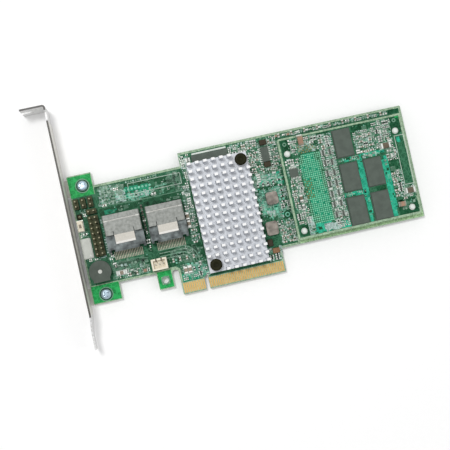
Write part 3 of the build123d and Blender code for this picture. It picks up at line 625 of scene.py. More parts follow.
def ragged(x0, x1, y0, y1, base, kind):
    """Area with stepped sides: a core, and a few blocks that reach further out."""
    z = base + AREA_UP + 0.002 * kind
    across, along = x1 - x0, y1 - y0
    inset, depth = across * 0.12, along * 0.12
    surface.block(x0 + inset, x1 - inset, y0 + depth, y1 - depth, base, z, 0, kind)
    for _ in range(5):
        for upright in (False, True):
            a0, a1, b0, b1 = (y0, y1, x0, x1) if upright else (x0, x1, y0, y1)
            half = (b1 - b0) * 0.5
            start, end = sorted(draw.uniform(a0, a1) for _ in range(2))
            side = draw.choice(((b0, b1 - half), (b0 + half, b1)))
            plan = (*side, start, end + 0.3) if upright else (start, end + 0.3, *side)
            surface.block(*plan, base, z - draw.uniform(0.0003, 0.0008), 0, kind)


pour_outline = [
    (-44.5, 14.0), (-22.5, 14.0), (-16.0, 14.4), (-13.5, 14.4), (-11.6, 13.0), (-11.6, 5.9), (-1.6, 5.9),
    (-1.6, 8.6), (1.6, 8.6), (1.6, 5.9), (38.5, 5.9), (38.5, 12.9), (48.4, 12.9), (48.4, 16.0), (109.0, 16.0),
    (109.0, 65.2), (112.8, 65.2), (112.8, 67.8), (0.4, 67.8), (0.4, 61.2), (-44.5, 61.2), (-44.5, 58.0),
    (-55.9, 58.0), (-55.9, 14.0),
]
surface.prism(pour_outline, FRONT, POUR_UP)
# A pale rim along the lower edge, of bare laminate made brighter still as painted light where the memory
# board shades it, and brighter tabs; the third leaves its hole free
surface.block(49.6, 113.4, 12.1, 15.2, FRONT, POUR_UP, 0, 7)
clear = HOLE_RADIUS + 0.4
for tab in (
    (-56.3, -44.8, 58.0, 68.4),
    (-56.3, -42.6, 5.1, 13.6),
    (-23.3, -16.3, 5.1, HOLE_Y - clear),
    (-23.3, -16.3, HOLE_Y + clear, 13.5),
    (-23.3, HOLE_X - clear, HOLE_Y - clear, HOLE_Y + clear),
    (HOLE_X + clear, -16.3, HOLE_Y - clear, HOLE_Y + clear),
):
    surface.block(*tab, FRONT, TAB_UP, 0, 1)
for *area, kind in (
    (-44.4, -25.4, 46.4, 50.0, 2),
    (-22.5, -2.4, 46.4, 50.2, 2),
    (-32.5, -15.5, 57.6, 59.4, 2),
    (-30.0, -16.2, 51.6, 57.8, 6),
    (-42.0, -36.0, 46.8, 48.8, 6),
    (-35.2, -29.4, 51.2, 57.4, 4),
    (-43.6, -40.4, 51.0, 56.0, 4),
    (-42.0, -37.4, 56.4, 60.2, 5),
    (-15.0, -2.0, 54.6, 59.0, 2),
    (-25.2, -22.6, 24.0, 50.0, 2),
    (-20.0, 2.0, 16.4, 23.8, 2),
    (-16.6, -12.0, 14.8, 16.4, 2),
    (-11.5, -9.2, 6.0, 9.6, 6),
    (-8.5, 1.0, 6.0, 9.4, 6),
    (34.0, 39.8, 44.6, 50.8, 5),
    (40.0, 43.6, 45.8, 49.6, 6),
    (37.0, 43.6, 30.6, 33.6, 6),
    (44.8, 48.0, 42.8, 46.4, 6),
    (34.6, 45.0, 40.6, 43.4, 2),
    (43.6, 48.6, 26.0, 31.4, 2),
    (107.2, 112.6, 65.8, 67.6, 2),
):
    ragged(*area, FRONT, kind)
low_corner, high_corner = box_of("memory_board")
x0, x1, y0, y1 = low_corner.x + 1, high_corner.x - 1, low_corner.y + 1.1, high_corner.y - 0.9
surface.block(x0, x1, y0, y1, TOP, TOP + POUR_UP)
for *area, kind in (
    (57.0, 67.5, 19.4, 54.9, 6),
    (57.8, 66.2, 15.0, 20.2, 3),
    (97.3, 100.4, 15.0, 45.6, 3),
    (85.1, 88.0, 14.9, 48.7, 3),
    (75.6, 99.8, 46.3, 48.7, 3),
    (75.6, 88.0, 29.2, 31.4, 3),
    (85.9, 95.8, 60.4, 63.6, 2),
    (61.2, 75.6, 61.6, 63.6, 2),
    (50.0, 54.4, 52.6, 63.6, 2),
    (50.0, 54.8, 15.0, 20.6, 2),
    (85.4, 87.2, 56.2, 60.4, 2),
    (106.6, 110.8, 29.6, 53.8, 0),
    (107.0, 108.6, 50.6, 53.4, 3),
    (100.6, 104.8, 36.6, 43.6, 2),
    (102.6, 106.2, 27.6, 36.2, 2),
    (100.6, 110.8, 14.8, 22.4, 2),
    (105.2, 110.6, 54.8, 63.4, 2),
    (108.6, 110.4, 59.0, 63.4, 1),
    (54.6, 57.8, 14.9, 24.0, 4),
    (62.4, 70.4, 14.9, 18.9, 4),
    (70.6, 75.4, 14.9, 18.2, 3),
    (91.8, 96.6, 28.9, 31.3, 2),
):
    ragged(*area, TOP, kind)
back_outline = [
    (-55.7, 14.2), (-12.8, 14.2), (-12.0, 5.9), (-1.6, 5.9), (-1.6, 8.6), (1.6, 8.6), (1.6, 5.9), (38.7, 5.9),
    (38.7, 12.9), (112.8, 12.9), (112.8, 67.8), (0.4, 67.8), (0.4, 61.2), (-44.5, 61.2), (-55.7, 57.2),
]
surface.prism(back_outline, BACK - POUR_UP, BACK, 0)
surface.done(recalculate=True)


# Screws, rings, buzzer plate and push pins


def cross_screws():
    """Pan heads with a cross recess."""
    shape = Shape("pan_head_screws", "screw_steel", [SCREW], ("bracket_screws",))
    sides, turn = 48, 0.5
    for low, high in solids_of("bracket_screws"):
        x, y = middle_of(low, high)
        radius, top = (high[0] - low[0]) / 2, high[2]
        profile = [(1.45, low[2]), (1.5, FRONT), (radius, FRONT), (radius, top * 0.45)]
        profile += [(radius * 0.94, top * 0.72), (radius * 0.78, top * 0.9), (radius * 0.62, top * 0.97)]
        rings = [shape.level(circle(x, y, reach, sides), z) for reach, z in profile]
        half_slot = 0.17 * radius
        for depth, share in ((top, 1.0), (top * 0.45, 0.72)):
            arm = 0.62 * radius * 0.93 * share
            ring = []
            for number in range(sides):
                angle = 2 * math.pi * number / sides
                fold = abs((angle + math.pi / 4) % (math.pi / 2) - math.pi / 4)
                reach = min(arm / max(math.cos(fold), 0.01), half_slot / max(math.sin(fold), 0.01))
                reach = min(max(reach, half_slot * 1.41), arm)
                ring.append((x + reach * math.cos(angle + turn), y + reach * math.sin(angle + turn)))
            rings.append(shape.level(ring, depth))
        shape.join(rings, close=True)
    shape.done(recalculate=True)


def rings_in_mask():
    """Washers printed round the screws, each with a pale rim, and round the free hole."""
    shape = Shape("mask_rings", "board_green", [TRACE, DEEP])
    for low, high in solids_of("bracket_screws"):
        x, y = middle_of(low, high)
        shape.ring(x, y, 1.7, 3.1, FRONT, 0.03, 40, 1)
        shape.ring(x, y, 3.1, 3.5, FRONT, PATH_UP, 40)
    shape.ring(HOLE_X, HOLE_Y, HOLE_RADIUS + 0.04, HOLE_RADIUS + 0.7, FRONT, PATH_UP, 40)
    shape.done(recalculate=True)


def buzzer_plate():
    """Metal plate that shows through the buzzer's hole."""
    low, high = box_of("buzzer")
    shape = Shape("buzzer_plate", "shell_steel", [CERAMIC])
    hole_height, radius = 5.1, 1.02
    shape.disc(middle_of(low, high)[0], low.y + hole_height, radius, high.z - 0.98, high.z - 0.25, 24)
    shape.done(recalculate=True)


def push_pins():
    """Rounded heads with a dimple, shafts and barbs, and springs of round wire."""
    shape = Shape("push_pin_heads", "push_pin_black", [BLACK], ("heatsink_push_pins",))
    springs = Shape("round_wire_springs", "spring_steel", [SPRING], ("push_pin_springs",))
    wire, coils, steps = 0.25, 2.5, 84
    pairs = zip(solids_of("heatsink_push_pins"), solids_of("push_pin_springs"))
    for (low, high), (spring_low, spring_high) in pairs:
        x, y = middle_of(low, high)
        head, top, under = (high[0] - low[0]) / 2, high[2], spring_high[2] + 0.05
        profile = [(0.45, low[2]), (0.95, low[2]), (1.72, BACK - 0.25), (1.72, BACK)]
        profile += [(1.32, BACK), (1.32, under), (head - 0.15, under), (head, under + 0.2)]
        profile += [(head, top - 0.3), (head - 0.28, top), (1.2, top), (0.9, top - 0.3), (0.3, top - 0.3)]
        shape.lathe(x, y, profile, 40)
        start, end = spring_low[2] + wire, spring_high[2] - wire
        reach = (spring_high[0] - spring_low[0]) / 2 - wire
        rings = []
        for step in range(steps + 1):
            angle = 2 * math.pi * coils * step / steps
            section = circle(reach, start + (end - start) * step / steps, wire, 8)
            ring = [(x + out * math.cos(angle), y + out * math.sin(angle), z) for out, z in section]
            rings.append(springs.loop(ring))
        springs.join(rings, close=True, smooth=True)
    shape.done(recalculate=True)
    springs.done(recalculate=True)


cross_screws()
rings_in_mask()
buzzer_plate()
push_pins()


# Small surface-mounted parts

PARTS = {
    "solder": SOLDER, "tan": TAN, "brown": BROWN, "dark": GLAZE, "white": WHITE, "orange": ORANGE,
    "plated": TIN, "ink": INK, "grey": GREY,
}
KINDS = {name: number for number, name in enumerate(PARTS)}


# Places in x from which some chips look different
ORANGE_BEFORE = 65
WHITE_ENDS_BEFORE = -30
BETWEEN_PORTS = (-26, -22)


def turned(along_x, along, across):
    """What lies along and across a part, as what lies in x and in y."""
    return (along, across) if along_x else (across, along)


def box_round(x, y, width, depth):
    return (x - width / 2, x + width / 2, y - depth / 2, y + depth / 2)


def chip(shape, x, y, sizes, base, along_x, kind, outline=False, ends="plated", pads="solder"):
    """Two-ended part: a body between plated ends, on two soldered pads."""
    length, width, height = sizes

    def box(a0, a1, b0, b1, z0, z1, edge, look):
        (u0, u1), (v0, v1) = turned(along_x, (a0, a1), (b0, b1))
        shape.block(x + u0, x + u1, y + v0, y + v1, z0, z1, edge, KINDS[look])

    half, side = length / 2, width / 2
    end = min(0.24 * length, 0.75)
    rim = min(0.05, width * 0.08)
    foot, top = base + 0.02, base + height
    box(-half + end, half - end, -side + rim, side - rim, foot, top - rim, rim, kind)
    for way in (-1, 1):
        a0, a1 = sorted((way * half, way * (half - end)))
        box(a0, a1, -side, side, foot, top, rim * 1.4 if length > 1.5 else 0, ends)
        a0, a1 = sorted((way * (half - end * 0.6), way * (half + length * 0.16)))
        box(a0, a1, -side - 0.08, side + 0.08, base, base + 0.03, 0, pads)
    if outline:
        a, b = half + length * 0.28, side + 0.28
        for sign in (-1, 1):
            line = [turned(along_x, u, sign * b) for u in (-a, a)]
            shape.strip([(x + u, y + v) for u, v in line], 0.16, base, base + INK_UP, KINDS["ink"])


def replace_chips():
    """The CAD's chips, with ends and pads. Tall ones lie in a printed frame, and a few have other ends."""
    for node, slot, usual in (
        ("capacitors", "capacitor_tan", "tan"),
        ("resistors", "resistor_dark", "dark"),
        ("large_capacitors", "capacitor_tan", "tan"),
        ("memory_capacitors", "capacitor_tan", "tan"),
        ("memory_large_capacitors", "capacitor_tan", "brown"),
    ):
        shape = Shape(f"{node}_dressed", slot, list(PARTS.values()), (node,))
        for low, high in solids_of(node):
            x, y = middle_of(low, high)
            width, depth, height = [high[axis] - low[axis] for axis in range(3)]
            tall, on_memory = height > 1, node == "memory_large_capacitors"
            kind, ends, pads = usual, "plated", "solder"
            if on_memory and x < ORANGE_BEFORE:
                kind, ends, tall = "orange", "tan", False
            elif tall and (on_memory or x < WHITE_ENDS_BEFORE):
                ends = "white"
            elif node == "resistors" and BETWEEN_PORTS[0] < x < BETWEEN_PORTS[1]:
                ends, pads = "brown", "grey"
            sizes = (max(width, depth), min(width, depth), height)
            chip(shape, x, y, sizes, low[2], width > depth, kind, tall, ends, pads)
        shape.done()


def resistor_arrays():
    """Four-way arrays: a dark slab with four plated ends on each side."""
    shape = Shape("arrays_dressed", "resistor_dark", [ARRAY, SOLDER], ("memory_resistor_arrays",))
    for (x0, y0, z0), (x1, y1, z1) in solids_of("memory_resistor_arrays"):
        shape.block(x0 + 0.25, x1 - 0.25, y0, y1, z0 + 0.02, z1, 0.05)
        pitch = (y1 - y0) / 4
        for number in range(4):
            y = y0 + pitch * (number + 0.5)
            for a, b in ((x0, x0 + 0.32), (x1 - 0.32, x1)):
                shape.block(a, b, y - pitch * 0.3, y + pitch * 0.3, z0 + 0.01, z1 + 0.01, 0.03, 1)
            for a, b in ((x0 - 0.35, x0 + 0.2), (x1 - 0.2, x1 + 0.35)):
                shape.block(a, b, y - pitch * 0.34, y + pitch * 0.34, z0, z0 + 0.03, 0, 1)
    shape.done()


def posts():
    """Header posts with pointed tips, and their solder cones below the board."""
    for name, node, slot, material in (
        ("long_header_posts", "pin_header_posts", "post_gold", POST),
        ("short_header_posts", "jumper_header_posts", "post_gold", POST),
        ("cable_header_posts", "three_way_connector_posts", "post_tin", TIN),
    ):
        shape = Shape(name, slot, [material, SOLDER], (node,))
        for low, high in solids_of(node):
            (x0, y0, z0), (x1, y1, z1) = low, high
            tip, foot, half = (x1 - x0) * 0.28, z0 + 0.2, (x1 - x0) / 2
            shape.block(x0, x1, y0, y1, foot, z1, tip)
            shape.block(x0 + 0.12, x1 - 0.12, y0 + 0.12, y1 - 0.12, z0, foot)
            cone = [(half + 0.5, BACK), (half + 0.28, BACK - 0.25), (half + 0.1, BACK - 0.6)]
            shape.lathe(*middle_of(low, high), cone, 12, 1)
        shape.done(recalculate=True)


def bent_leads():
    """Gull-wing leads of the two small packages, on soldered pads."""
    shape = Shape("gull_leads", "lead_tin", [TIN, SOLDER], ("package_leads",))
    sheet = 0.16
    for node, run, other in (("logic_package", 0, 1), ("regulator_package", 1, 0)):
        package = box_of(node)[0]
        for low, high in solids_of("package_leads"):
            base, top = low[2], high[2]
            if abs(base - package.z) > 0.3:
                continue
            way = 1 if low[run] > package[run] else -1
            start = low[run] if way > 0 else high[run]
            reach = high[run] - low[run]
            path = [(0.0, top), (reach * 0.32, top), (reach * 0.55, base + sheet), (reach, base + sheet)]
            path += [(reach, base + 0.01), (reach * 0.45, base + 0.01)]
            path += [(reach * 0.22, top - sheet), (0.0, top - sheet)]
            rings = []
            for side in (low[other], high[other]):
                places = [(start + way * out, side, z) for out, z in path]
                if run:
                    places = [(across, along, z) for along, across, z in places]
                rings.append(shape.loop(places))
            shape.join(rings, close=True)
            pad = [sorted((start + way * reach * 0.5, start + way * (reach + 0.35)))]
            pad.append([low[other] - 0.06, high[other] + 0.06])
            if run:
                pad.reverse()
            shape.block(*pad[0], *pad[1], base, base + 0.03, 0, 1)
    shape.done(recalculate=True)


def crystal():
    """Metal can with rounded corners, a stepped lid and a dot."""
    low, high = box_of("crystal")
    shape = Shape("crystal_can", "crystal_white", [CERAMIC, NICKEL], ("crystal",))
    radius, lid = 0.7, high.z - 0.4
    for inset, z0, z1 in ((0, low.z, lid), (0.35, lid, high.z)):
        reach = inset + radius
        x0, x1, y0, y1 = low.x + reach, high.x - reach, low.y + reach, high.y - reach
        points = []
        for quarter, (x, y) in enumerate(((x1, y1), (x0, y1), (x0, y0), (x1, y0))):
            points += circle(x, y, radius, 24, quarter * math.pi / 2)[:7]
        shape.prism(points, z0, z1)
    shape.disc(high.x - 1.5, low.y + 1.4, 0.28, high.z - 0.1, high.z + 0.004, 16, 1)
    shape.done(recalculate=True)


def fuse():
    """Cream body with raised ends and a tan window, on its pad."""
    low, high = box_of("fuse")
    shape = Shape("chip_fuse", "fuse_cream", [CREAM, TAN, SOLDER], ("fuse",))
    x0, x1, y0, y1, top = low.x, high.x, low.y, high.y, high.z
    shape.block(x0 + 0.08, x1 - 0.08, y0 + 1.0, y1 - 1.0, 0.02, top - 0.06, 0.15)
    shape.block(x0 + 0.9, x1 - 0.9, y0 + 1.7, y1 - 1.7, top - 0.07, top - 0.04, 0, 1)
    for a, b in ((y0, y0 + 1.1), (y1 - 1.1, y1)):
        shape.block(x0, x1, a, b, 0.02, top, 0.22)
    shape.block(x0 - 0.2, x1 + 0.2, y0 - 0.3, y1 + 0.3, 0, 0.03, 0, 2)
    shape.done()


def connector_slot_shade():
    """Dark blocks at the open side of the cream connector: painted shade standing in for the shadow in its
    slots.
    """
    low, high = box_of("three_way_connector")
    shape = Shape("connector_slot_shade", "connector_cream", [BROWN])
    y0, y1 = high.y - 1.6, high.y - 0.02
    for shift in (-1.3, 1.3):
        x = middle_of(low, high)[0] + shift
        shape.block(x - 0.35, x + 0.35, y0, y1, high.z - 0.2, high.z + 0.01)
    shape.done()


def lamp():
    """Black holder with a low round lens."""
    low, high = box_of("status_lamp")
    shape = Shape("lamp", "lamp_black", [BLACK, LENS], ("status_lamp",))
    top = high.z
    shape.block(low.x, high.x, low.y, high.y, 0, top - 0.3, 0.12)
    lens = [(0.7, top - 0.32), (0.68, top - 0.2), (0.5, top - 0.06), (0.2, top)]
    shape.lathe(*middle_of(low, high), lens, 24, 1)
    shape.done(recalculate=True)


replace_chips()
resistor_arrays()
posts()
bent_leads()
crystal()
fuse()
connector_slot_shade()
lamp()


# Small parts, bare pads, vias, traces and prints that fill both boards, clear of what stands there

BOARDS = ("main_board", "memory_board", "edge_contacts_front", "edge_contacts_back", "bracket")
PRINTS = [TRACE, TRACE_TEAL, INK, TIN, HOLE_SHADE, PALE, GREY_GREEN, DEEP, TEAL, OCHRE, POUR, WHITE, VIA]
P_TRACE, P_TEAL, P_INK, P_TIN, P_HOLE_SHADE, P_PALE, P_GREY = range(7)
P_DEEP, P_GREEN, P_GOLD, P_POUR, P_WHITE, P_VIA = range(7, 13)
SIZES = ((1.0, 0.5, 0.35), (1.0, 0.5, 0.5), (1.6, 0.8, 0.5), (1.6, 0.8, 0.8))
BODIES = ("tan", "grey", "grey", "grey", "brown", "dark", "dark", "white")
PITCH = 0.46

# Looks of bare pads, then shares for one square millimetre: banks of parts, bare pads, vias, pale areas,
# deep areas, traces and ink lines
BRIGHT_PADS = (P_TIN, P_PALE, P_PALE)
MASKED_PADS = (P_PALE, P_GREY, P_TEAL)
MIXED_PADS = (P_PALE, P_GREY, P_TEAL, P_INK)
DULL_PADS = (P_GREY,)
STYLES = {
    "busy": (BRIGHT_PADS, 0.30, 0.14, 0.20, 0.22, 0.10, 0.05, 0.10),
    "pads": (BRIGHT_PADS, 0.10, 0.20, 0.14, 0.26, 0.20, 0.10, 0.10),
    "soft": (MIXED_PADS, 0.08, 0.10, 0.16, 0.30, 0.30, 0.12, 0.03),
    "lines": (MASKED_PADS, 0.0, 0.01, 0.08, 0.04, 0.16, 0.20, 0.03),
    "print": (MASKED_PADS, 0.015, 0.10, 0.08, 0.30, 0.30, 0.10, 0.16),
    "dim": (DULL_PADS, 0.10, 0.02, 0.10, 0.05, 0.25, 0.10, 0.02),
    "quiet": (DULL_PADS, 0.0, 0.01, 0.05, 0.01, 0.08, 0.04, 0.0),
}


class Crowd:
    """One board surface, and what is added to it."""

    def __init__(self, name, base, reach):
        self.base = base
        self.parts = Shape(f"{name}_small_parts", "capacitor_tan", list(PARTS.values()))
        self.prints = Shape(f"{name}_pads_and_prints", "board_green", PRINTS)
        self.taken = []
        for node in nodes:
            if node in BOARDS:
                continue
            for low, high in solids_of(node):
                if low[2] < base + reach and high[2] > base + 0.05:
                    self.taken.append((low[0], high[0], low[1], high[1]))

    def pad(self, x0, x1, y0, y1, height, kind):
        self.prints.block(x0, x1, y0, y1, self.base, self.base + height, 0, kind)

    def line(self, points, width, height, kind):
        self.prints.strip(points, width, self.base, self.base + height, kind)

    def dot(self, x, y, radius, height, sides, kind):
        self.prints.disc(x, y, radius, self.base, self.base + height, sides, kind)

    def washer(self, x, y, inner, outer, sides, kind):
        self.prints.ring(x, y, inner, outer, self.base, self.base + PAD_UP, sides, kind)

    def free(self, x0, x1, y0, y1, gap=0.14):
        for a0, a1, b0, b1 in self.taken:
            if x0 - gap < a1 and x1 + gap > a0 and y0 - gap < b1 and y1 + gap > b0:
                return False
        return True

    def seek(self, zone, width, depth):
        """Middle of a free place of a size in a zone, which is then taken."""
        x0, x1, y0, y1 = zone
        if x1 - x0 < width or y1 - y0 < depth:
            return None
        for _ in range(14):
            x = round(draw.uniform(x0 + width / 2, x1 - width / 2), 1)
            y = round(draw.uniform(y0 + depth / 2, y1 - depth / 2), 1)
            box = box_round(x, y, width, depth)
            if self.free(*box):
                self.taken.append(box)
                return x, y
        return None

    def stand(self, parts):
        """Single parts at known places, where these are free."""
        for x, y, *sizes, along_x, kind in parts:
            box = box_round(x, y, *turned(along_x, *sizes[:2]))
            if self.free(*box, 0.05):
                self.taken.append(box)
                ends = "tan" if kind == "orange" else "plated"
                chip(self.parts, x, y, sizes, self.base, along_x, kind, ends=ends)

    def bank(self, zone):
        """One to four equal parts side by side."""
        sizes = draw.choice(SIZES)
        length, width = sizes[:2]
        count = draw.choice((1, 1, 2, 3, 4))
        step = width + 0.35
        along_x = draw.random() < 0.5
        spot = self.seek(zone, *turned(along_x, length * 1.34, step * count - 0.2))
        if not spot:
            return
        kind = draw.choice(BODIES)
        outline = count == 1 and width > 0.6
        for number in range(count):
            dx, dy = turned(along_x, 0, (number - (count - 1) / 2) * step)
            chip(self.parts, spot[0] + dx, spot[1] + dy, sizes, self.base, along_x, kind, outline)

    def bare(self, zone, kinds):
        """Two pads with no part on them."""
        size, gap = draw.choice(((0.5, 0.45), (0.8, 0.6), (1.1, 0.7)))
        along_x = draw.random() < 0.5
        spot = self.seek(zone, *turned(along_x, 2 * size + gap, size))
        if not spot:
            return
        kind = draw.choice(kinds)
        for way in (-1, 1):
            dx, dy = turned(along_x, way * (size + gap) / 2, 0)
            self.pad(*box_round(spot[0] + dx, spot[1] + dy, size, size), PAD_UP, kind)

    def via(self, x, y, radius=0.3, kind=P_TRACE):
        self.dot(x, y, radius, 0.04, 8, kind)
        # The dark disc in the middle is painted shade standing in for the open hole
        self.dot(x, y, radius * 0.36, 0.043, 6, P_HOLE_SHADE)

    def lone_via(self, zone):
        spot = self.seek(zone, 0.6, 0.6)
        if spot:
            self.via(*spot, kind=draw.choice((P_TRACE, P_GREY, P_TEAL)))

    def area(self, zone, kinds):
        """Small rectangle of copper under the mask; parts may stand on it."""
        x0, x1, y0, y1 = zone
        width, depth = draw.uniform(0.4, 2.2), draw.uniform(0.4, 1.6)
        x, y = draw.uniform(x0, x1 - 0.3), draw.uniform(y0, y1 - 0.3)
        height = draw.uniform(0.028, 0.031)
        self.pad(x, min(x1, x + width), y, min(y1, y + depth), height, draw.choice(kinds))

    def traces(self, zone, kind):
        """Two to five traces side by side with a slanted run in the middle."""
        x0, x1, y0, y1 = zone
        count = draw.randint(2, 5)
        upright = draw.random() < 0.5
        a0, a1, b0, b1 = (y0, y1, x0, x1) if upright else (x0, x1, y0, y1)
        start, end = sorted((draw.uniform(a0, a1), draw.uniform(a0, a1)))
        first = draw.uniform(b0, max(b0, b1 - count * PITCH))
        slant = draw.choice((-1, 1)) * draw.uniform(0.4, 1.6)
        if end - start < 1.2 + 2 * abs(slant):
            slant = 0.0
        if end - start < 0.8 or not b0 < first + slant < b1 - count * PITCH:
            return
        bend = draw.uniform(start + 0.3, end - abs(slant) - 0.3) if slant else (start + end) / 2
        for number in range(count):
            b = first + number * PITCH
            path = [(start, b), (bend, b), (bend + abs(slant), b + slant), (end, b + slant)]
            if not slant:
                path = [path[0], path[3]]
            if upright:
                path = [(v, u) for u, v in path]
            self.line(path, 0.2, PATH_UP, kind)

    def ink(self, zone):
        """Short bar or corner of ink beside a part."""
        x0, x1, y0, y1 = zone
        x, y = draw.uniform(x0 + 1, x1 - 1), draw.uniform(y0 + 1, y1 - 1)
        reach, rise = draw.uniform(0.8, 2.4), draw.uniform(0.6, 1.8)
        path = draw.choice((
            [(x, y), (x + reach, y)],
            [(x, y), (x, y + reach)],
            [(x, y + rise), (x, y), (x + reach, y)],
            [(x, y), (x + reach, y), (x + reach, y - rise)],
        ))
        path = [(min(max(u, x0), x1), min(max(v, y0), y1)) for u, v in path]
        self.line(path, 0.17, INK_UP, P_INK)

    def frame(self, x0, x1, y0, y1, width):
        path = [(x0, y0), (x1, y0), (x1, y1), (x0, y1), (x0, y0 - width / 2)]
        self.line(path, width, FRAME_UP, P_INK)

    def fill(self, style, x0, x1, y0, y1, tint=P_TRACE):
        zone = (x0, x1, y0, y1)
        extent = (x1 - x0) * (y1 - y0)
        pads, *shares = STYLES[style]
        banks, bares, vias, pale, deep, runs, marks = (round(share * extent) for share in shares)
        pale_kinds = (P_PALE, P_GREY, P_GREY, P_GREEN if tint == P_TEAL else P_TRACE)
        for count, add, *more in (
            (pale, self.area, pale_kinds),
            (deep, self.area, (P_DEEP, P_DEEP, P_POUR)),
            (runs, self.traces, tint),
            (banks, self.bank),
            (bares, self.bare, pads),
            (vias, self.lone_via),
            (marks, self.ink),
        ):
            for _ in range(count):
                add(zone, *more)

    def done(self):
        self.parts.done()
        self.prints.done(recalculate=True)


def main_crowd():
    """Parts and prints at known places, then zones filled at random."""
    board = Crowd("main_board", FRONT, 3.2)
    # The rings in the three tabs, and the gap beside the third tab, stay clear
    board.taken += [(-23.6, -16.0, 4.7, 13.5), (-53.6, -45.9, 5, 12.4)]
    board.taken += [(-53.6, -45.9, 59.4, 66.8), (-16.2, -12.4, 4, 13.2)]
    board.stand((
        (-28.6, 15.9, 1.9, 1.5, 0.9, True, "orange"),
        (53.0, 66.8, 1.0, 0.8, 0.5, True, "white"),
        (60.0, 66.8, 1.0, 0.8, 0.5, True, "white"),
        (65.0, 66.8, 1.2, 0.8, 0.5, True, "white"),
        (71.5, 66.8, 1.2, 0.9, 0.5, True, "white"),
        (76.3, 66.8, 0.6, 0.9, 0.5, True, "white"),
        (49.2, 67.0, 1.1, 1.2, 0.5, True, "orange"),
        (55.3, 66.6, 1.6, 1.1, 0.5, True, "orange"),
        (3.6, 64.6, 1.8, 2.0, 0.9, True, "grey"),
        (-2.0, 33.3, 1.6, 1.0, 0.5, True, "dark"),
        (39.4, 51.5, 1.6, 0.8, 0.5, False, "brown"),
        (-43.0, 26.9, 1.6, 0.8, 0.5, False, "grey"),
        (-42.5, 22.4, 1.6, 0.8, 0.5, True, "white"),
    ))
    board.frame(-28.0, -1.8, 54.0, 59.4, 0.22)
    board.pad(-42.7, -37.2, 16.0, 18.6, INK_UP, P_WHITE)
    for points, width, height, kind in (
        ([(6.0, 66.9), (23.4, 66.9)], 0.8, 0.051, P_WHITE),
        ([(2.0, 55.0), (2.0, 66.0)], 0.7, 0.048, P_PALE),
        ([(3.6, 56.0), (3.6, 63.0)], 0.5, 0.048, P_PALE),
        ([(-44.0, 51.4), (-26.0, 50.4), (-2.4, 50.4)], 0.22, FRAME_UP, P_TRACE),
        ([(-36.0, 54.0), (-16.0, 54.0), (-14.8, 55.2), (-9.0, 55.2)], 0.3, BOLD_UP, P_TEAL),
        ([(-36.0, 52.6), (-17.4, 52.6), (-16.0, 54.0)], 0.3, BOLD_UP, P_TEAL),
    ):
        board.line(points, width, height, kind)
    # Round pads in the framed field, and small pads above it
    for number in range(8):
        x = -30.0 + 1.8 * number
        board.dot(x, 56.6, 0.6, PAD_UP, 12, P_TEAL)
        board.taken.append(box_round(x, 56.6, 1.2, 1.2))
    for number in range(12):
        x = -28.6 + 1.24 * number
        board.pad(*box_round(x, 60.3, 0.64, 0.8), PAD_UP, P_GREY if number % 3 else P_PALE)
        board.taken.append((x - 0.35, x + 0.35, 59.8, 60.9))
    # Four traces that turn down towards the contacts
    bend_x, bend_y, squeeze = -9.0, 15.4, 0.92
    for number in range(4):
        radius = 3.9 + 1.5 * number
        path = [(-20.0, bend_y + radius), (bend_x, bend_y + radius)]
        for step in range(1, 6):
            angle = math.pi / 2 * step / 6
            path.append((bend_x + radius * squeeze * math.sin(angle), bend_y + radius * math.cos(angle)))
        path.append((bend_x + radius * squeeze, 14.9))
        board.line(path, 0.45, BOLD_UP, P_TRACE if number % 2 else P_GREY)
    board.taken.append((-20.0, 1.9, 19.0, 23.9))
    # Round prints between the heatsink and the memory board
    for y in (43.6, 46.1):
        board.dot(46.4, y, 0.9, BOLD_UP, 20, P_TEAL)
    board.dot(46.4, 27.6, 2.0, 0.035, 28, P_DEEP)
    board.washer(46.4, 27.6, 0.7, 1.2, 28, P_TEAL)
    board.taken.append((44.3, 48.4, 25.6, 29.6))
    for style, *zone in (
        ("pads", -53.9, -50.9, 47.0, 51.6),
        ("quiet", -53.0, -51.0, 38.0, 46.0),
        ("busy", -56.4, -45.4, 25.8, 27.4),
        ("busy", -56.4, -51.8, 37.6, 41.0),
        ("print", -44.2, -30.0, 50.6, 60.9),
        ("print", -30.0, -15.0, 50.6, 55.4, P_TEAL),
        ("lines", -15.0, -1.0, 50.6, 61.0),
        ("quiet", -30.0, -15.0, 57.4, 60.0),
        ("quiet", -44.0, -26.0, 46.8, 50.2),
        ("quiet", -22.0, -3.0, 46.8, 50.2),
        ("dim", -25.4, -22.6, 24.0, 50.4),
        ("dim", -44.8, -41.4, 19.0, 31.0),
        ("pads", -44.9, -42.7, 24.0, 46.4),
        ("lines", -44.8, -25.4, 14.4, 23.8),
        ("pads", -38.0, -26.0, 14.2, 18.6),
        ("pads", -44.4, -36.0, 14.2, 16.2),
        ("lines", -16.8, 1.6, 14.8, 23.8),
        ("soft", -11.4, 2.6, 6.2, 14.8, P_TEAL),
        ("pads", -3.0, 1.9, 24.4, 53.4),
        ("dim", -3.4, 1.9, 24.4, 42.0),
        ("busy", -0.6, 4.6, 53.0, 67.6),
        ("busy", 24.2, 49.0, 62.6, 67.6),
        ("busy", 32.4, 48.8, 50.6, 63.0),
        ("print", 32.4, 48.8, 43.0, 50.6, P_TEAL),
        ("print", 32.4, 48.8, 26.4, 43.0, P_TEAL),
        ("busy", 40.4, 48.8, 13.6, 26.4),
        ("pads", 32.6, 40.0, 6.4, 13.4),
        ("pads", 49.4, 107.0, 65.7, 67.6),
    ):
        board.fill(style, *zone)
    board.done()


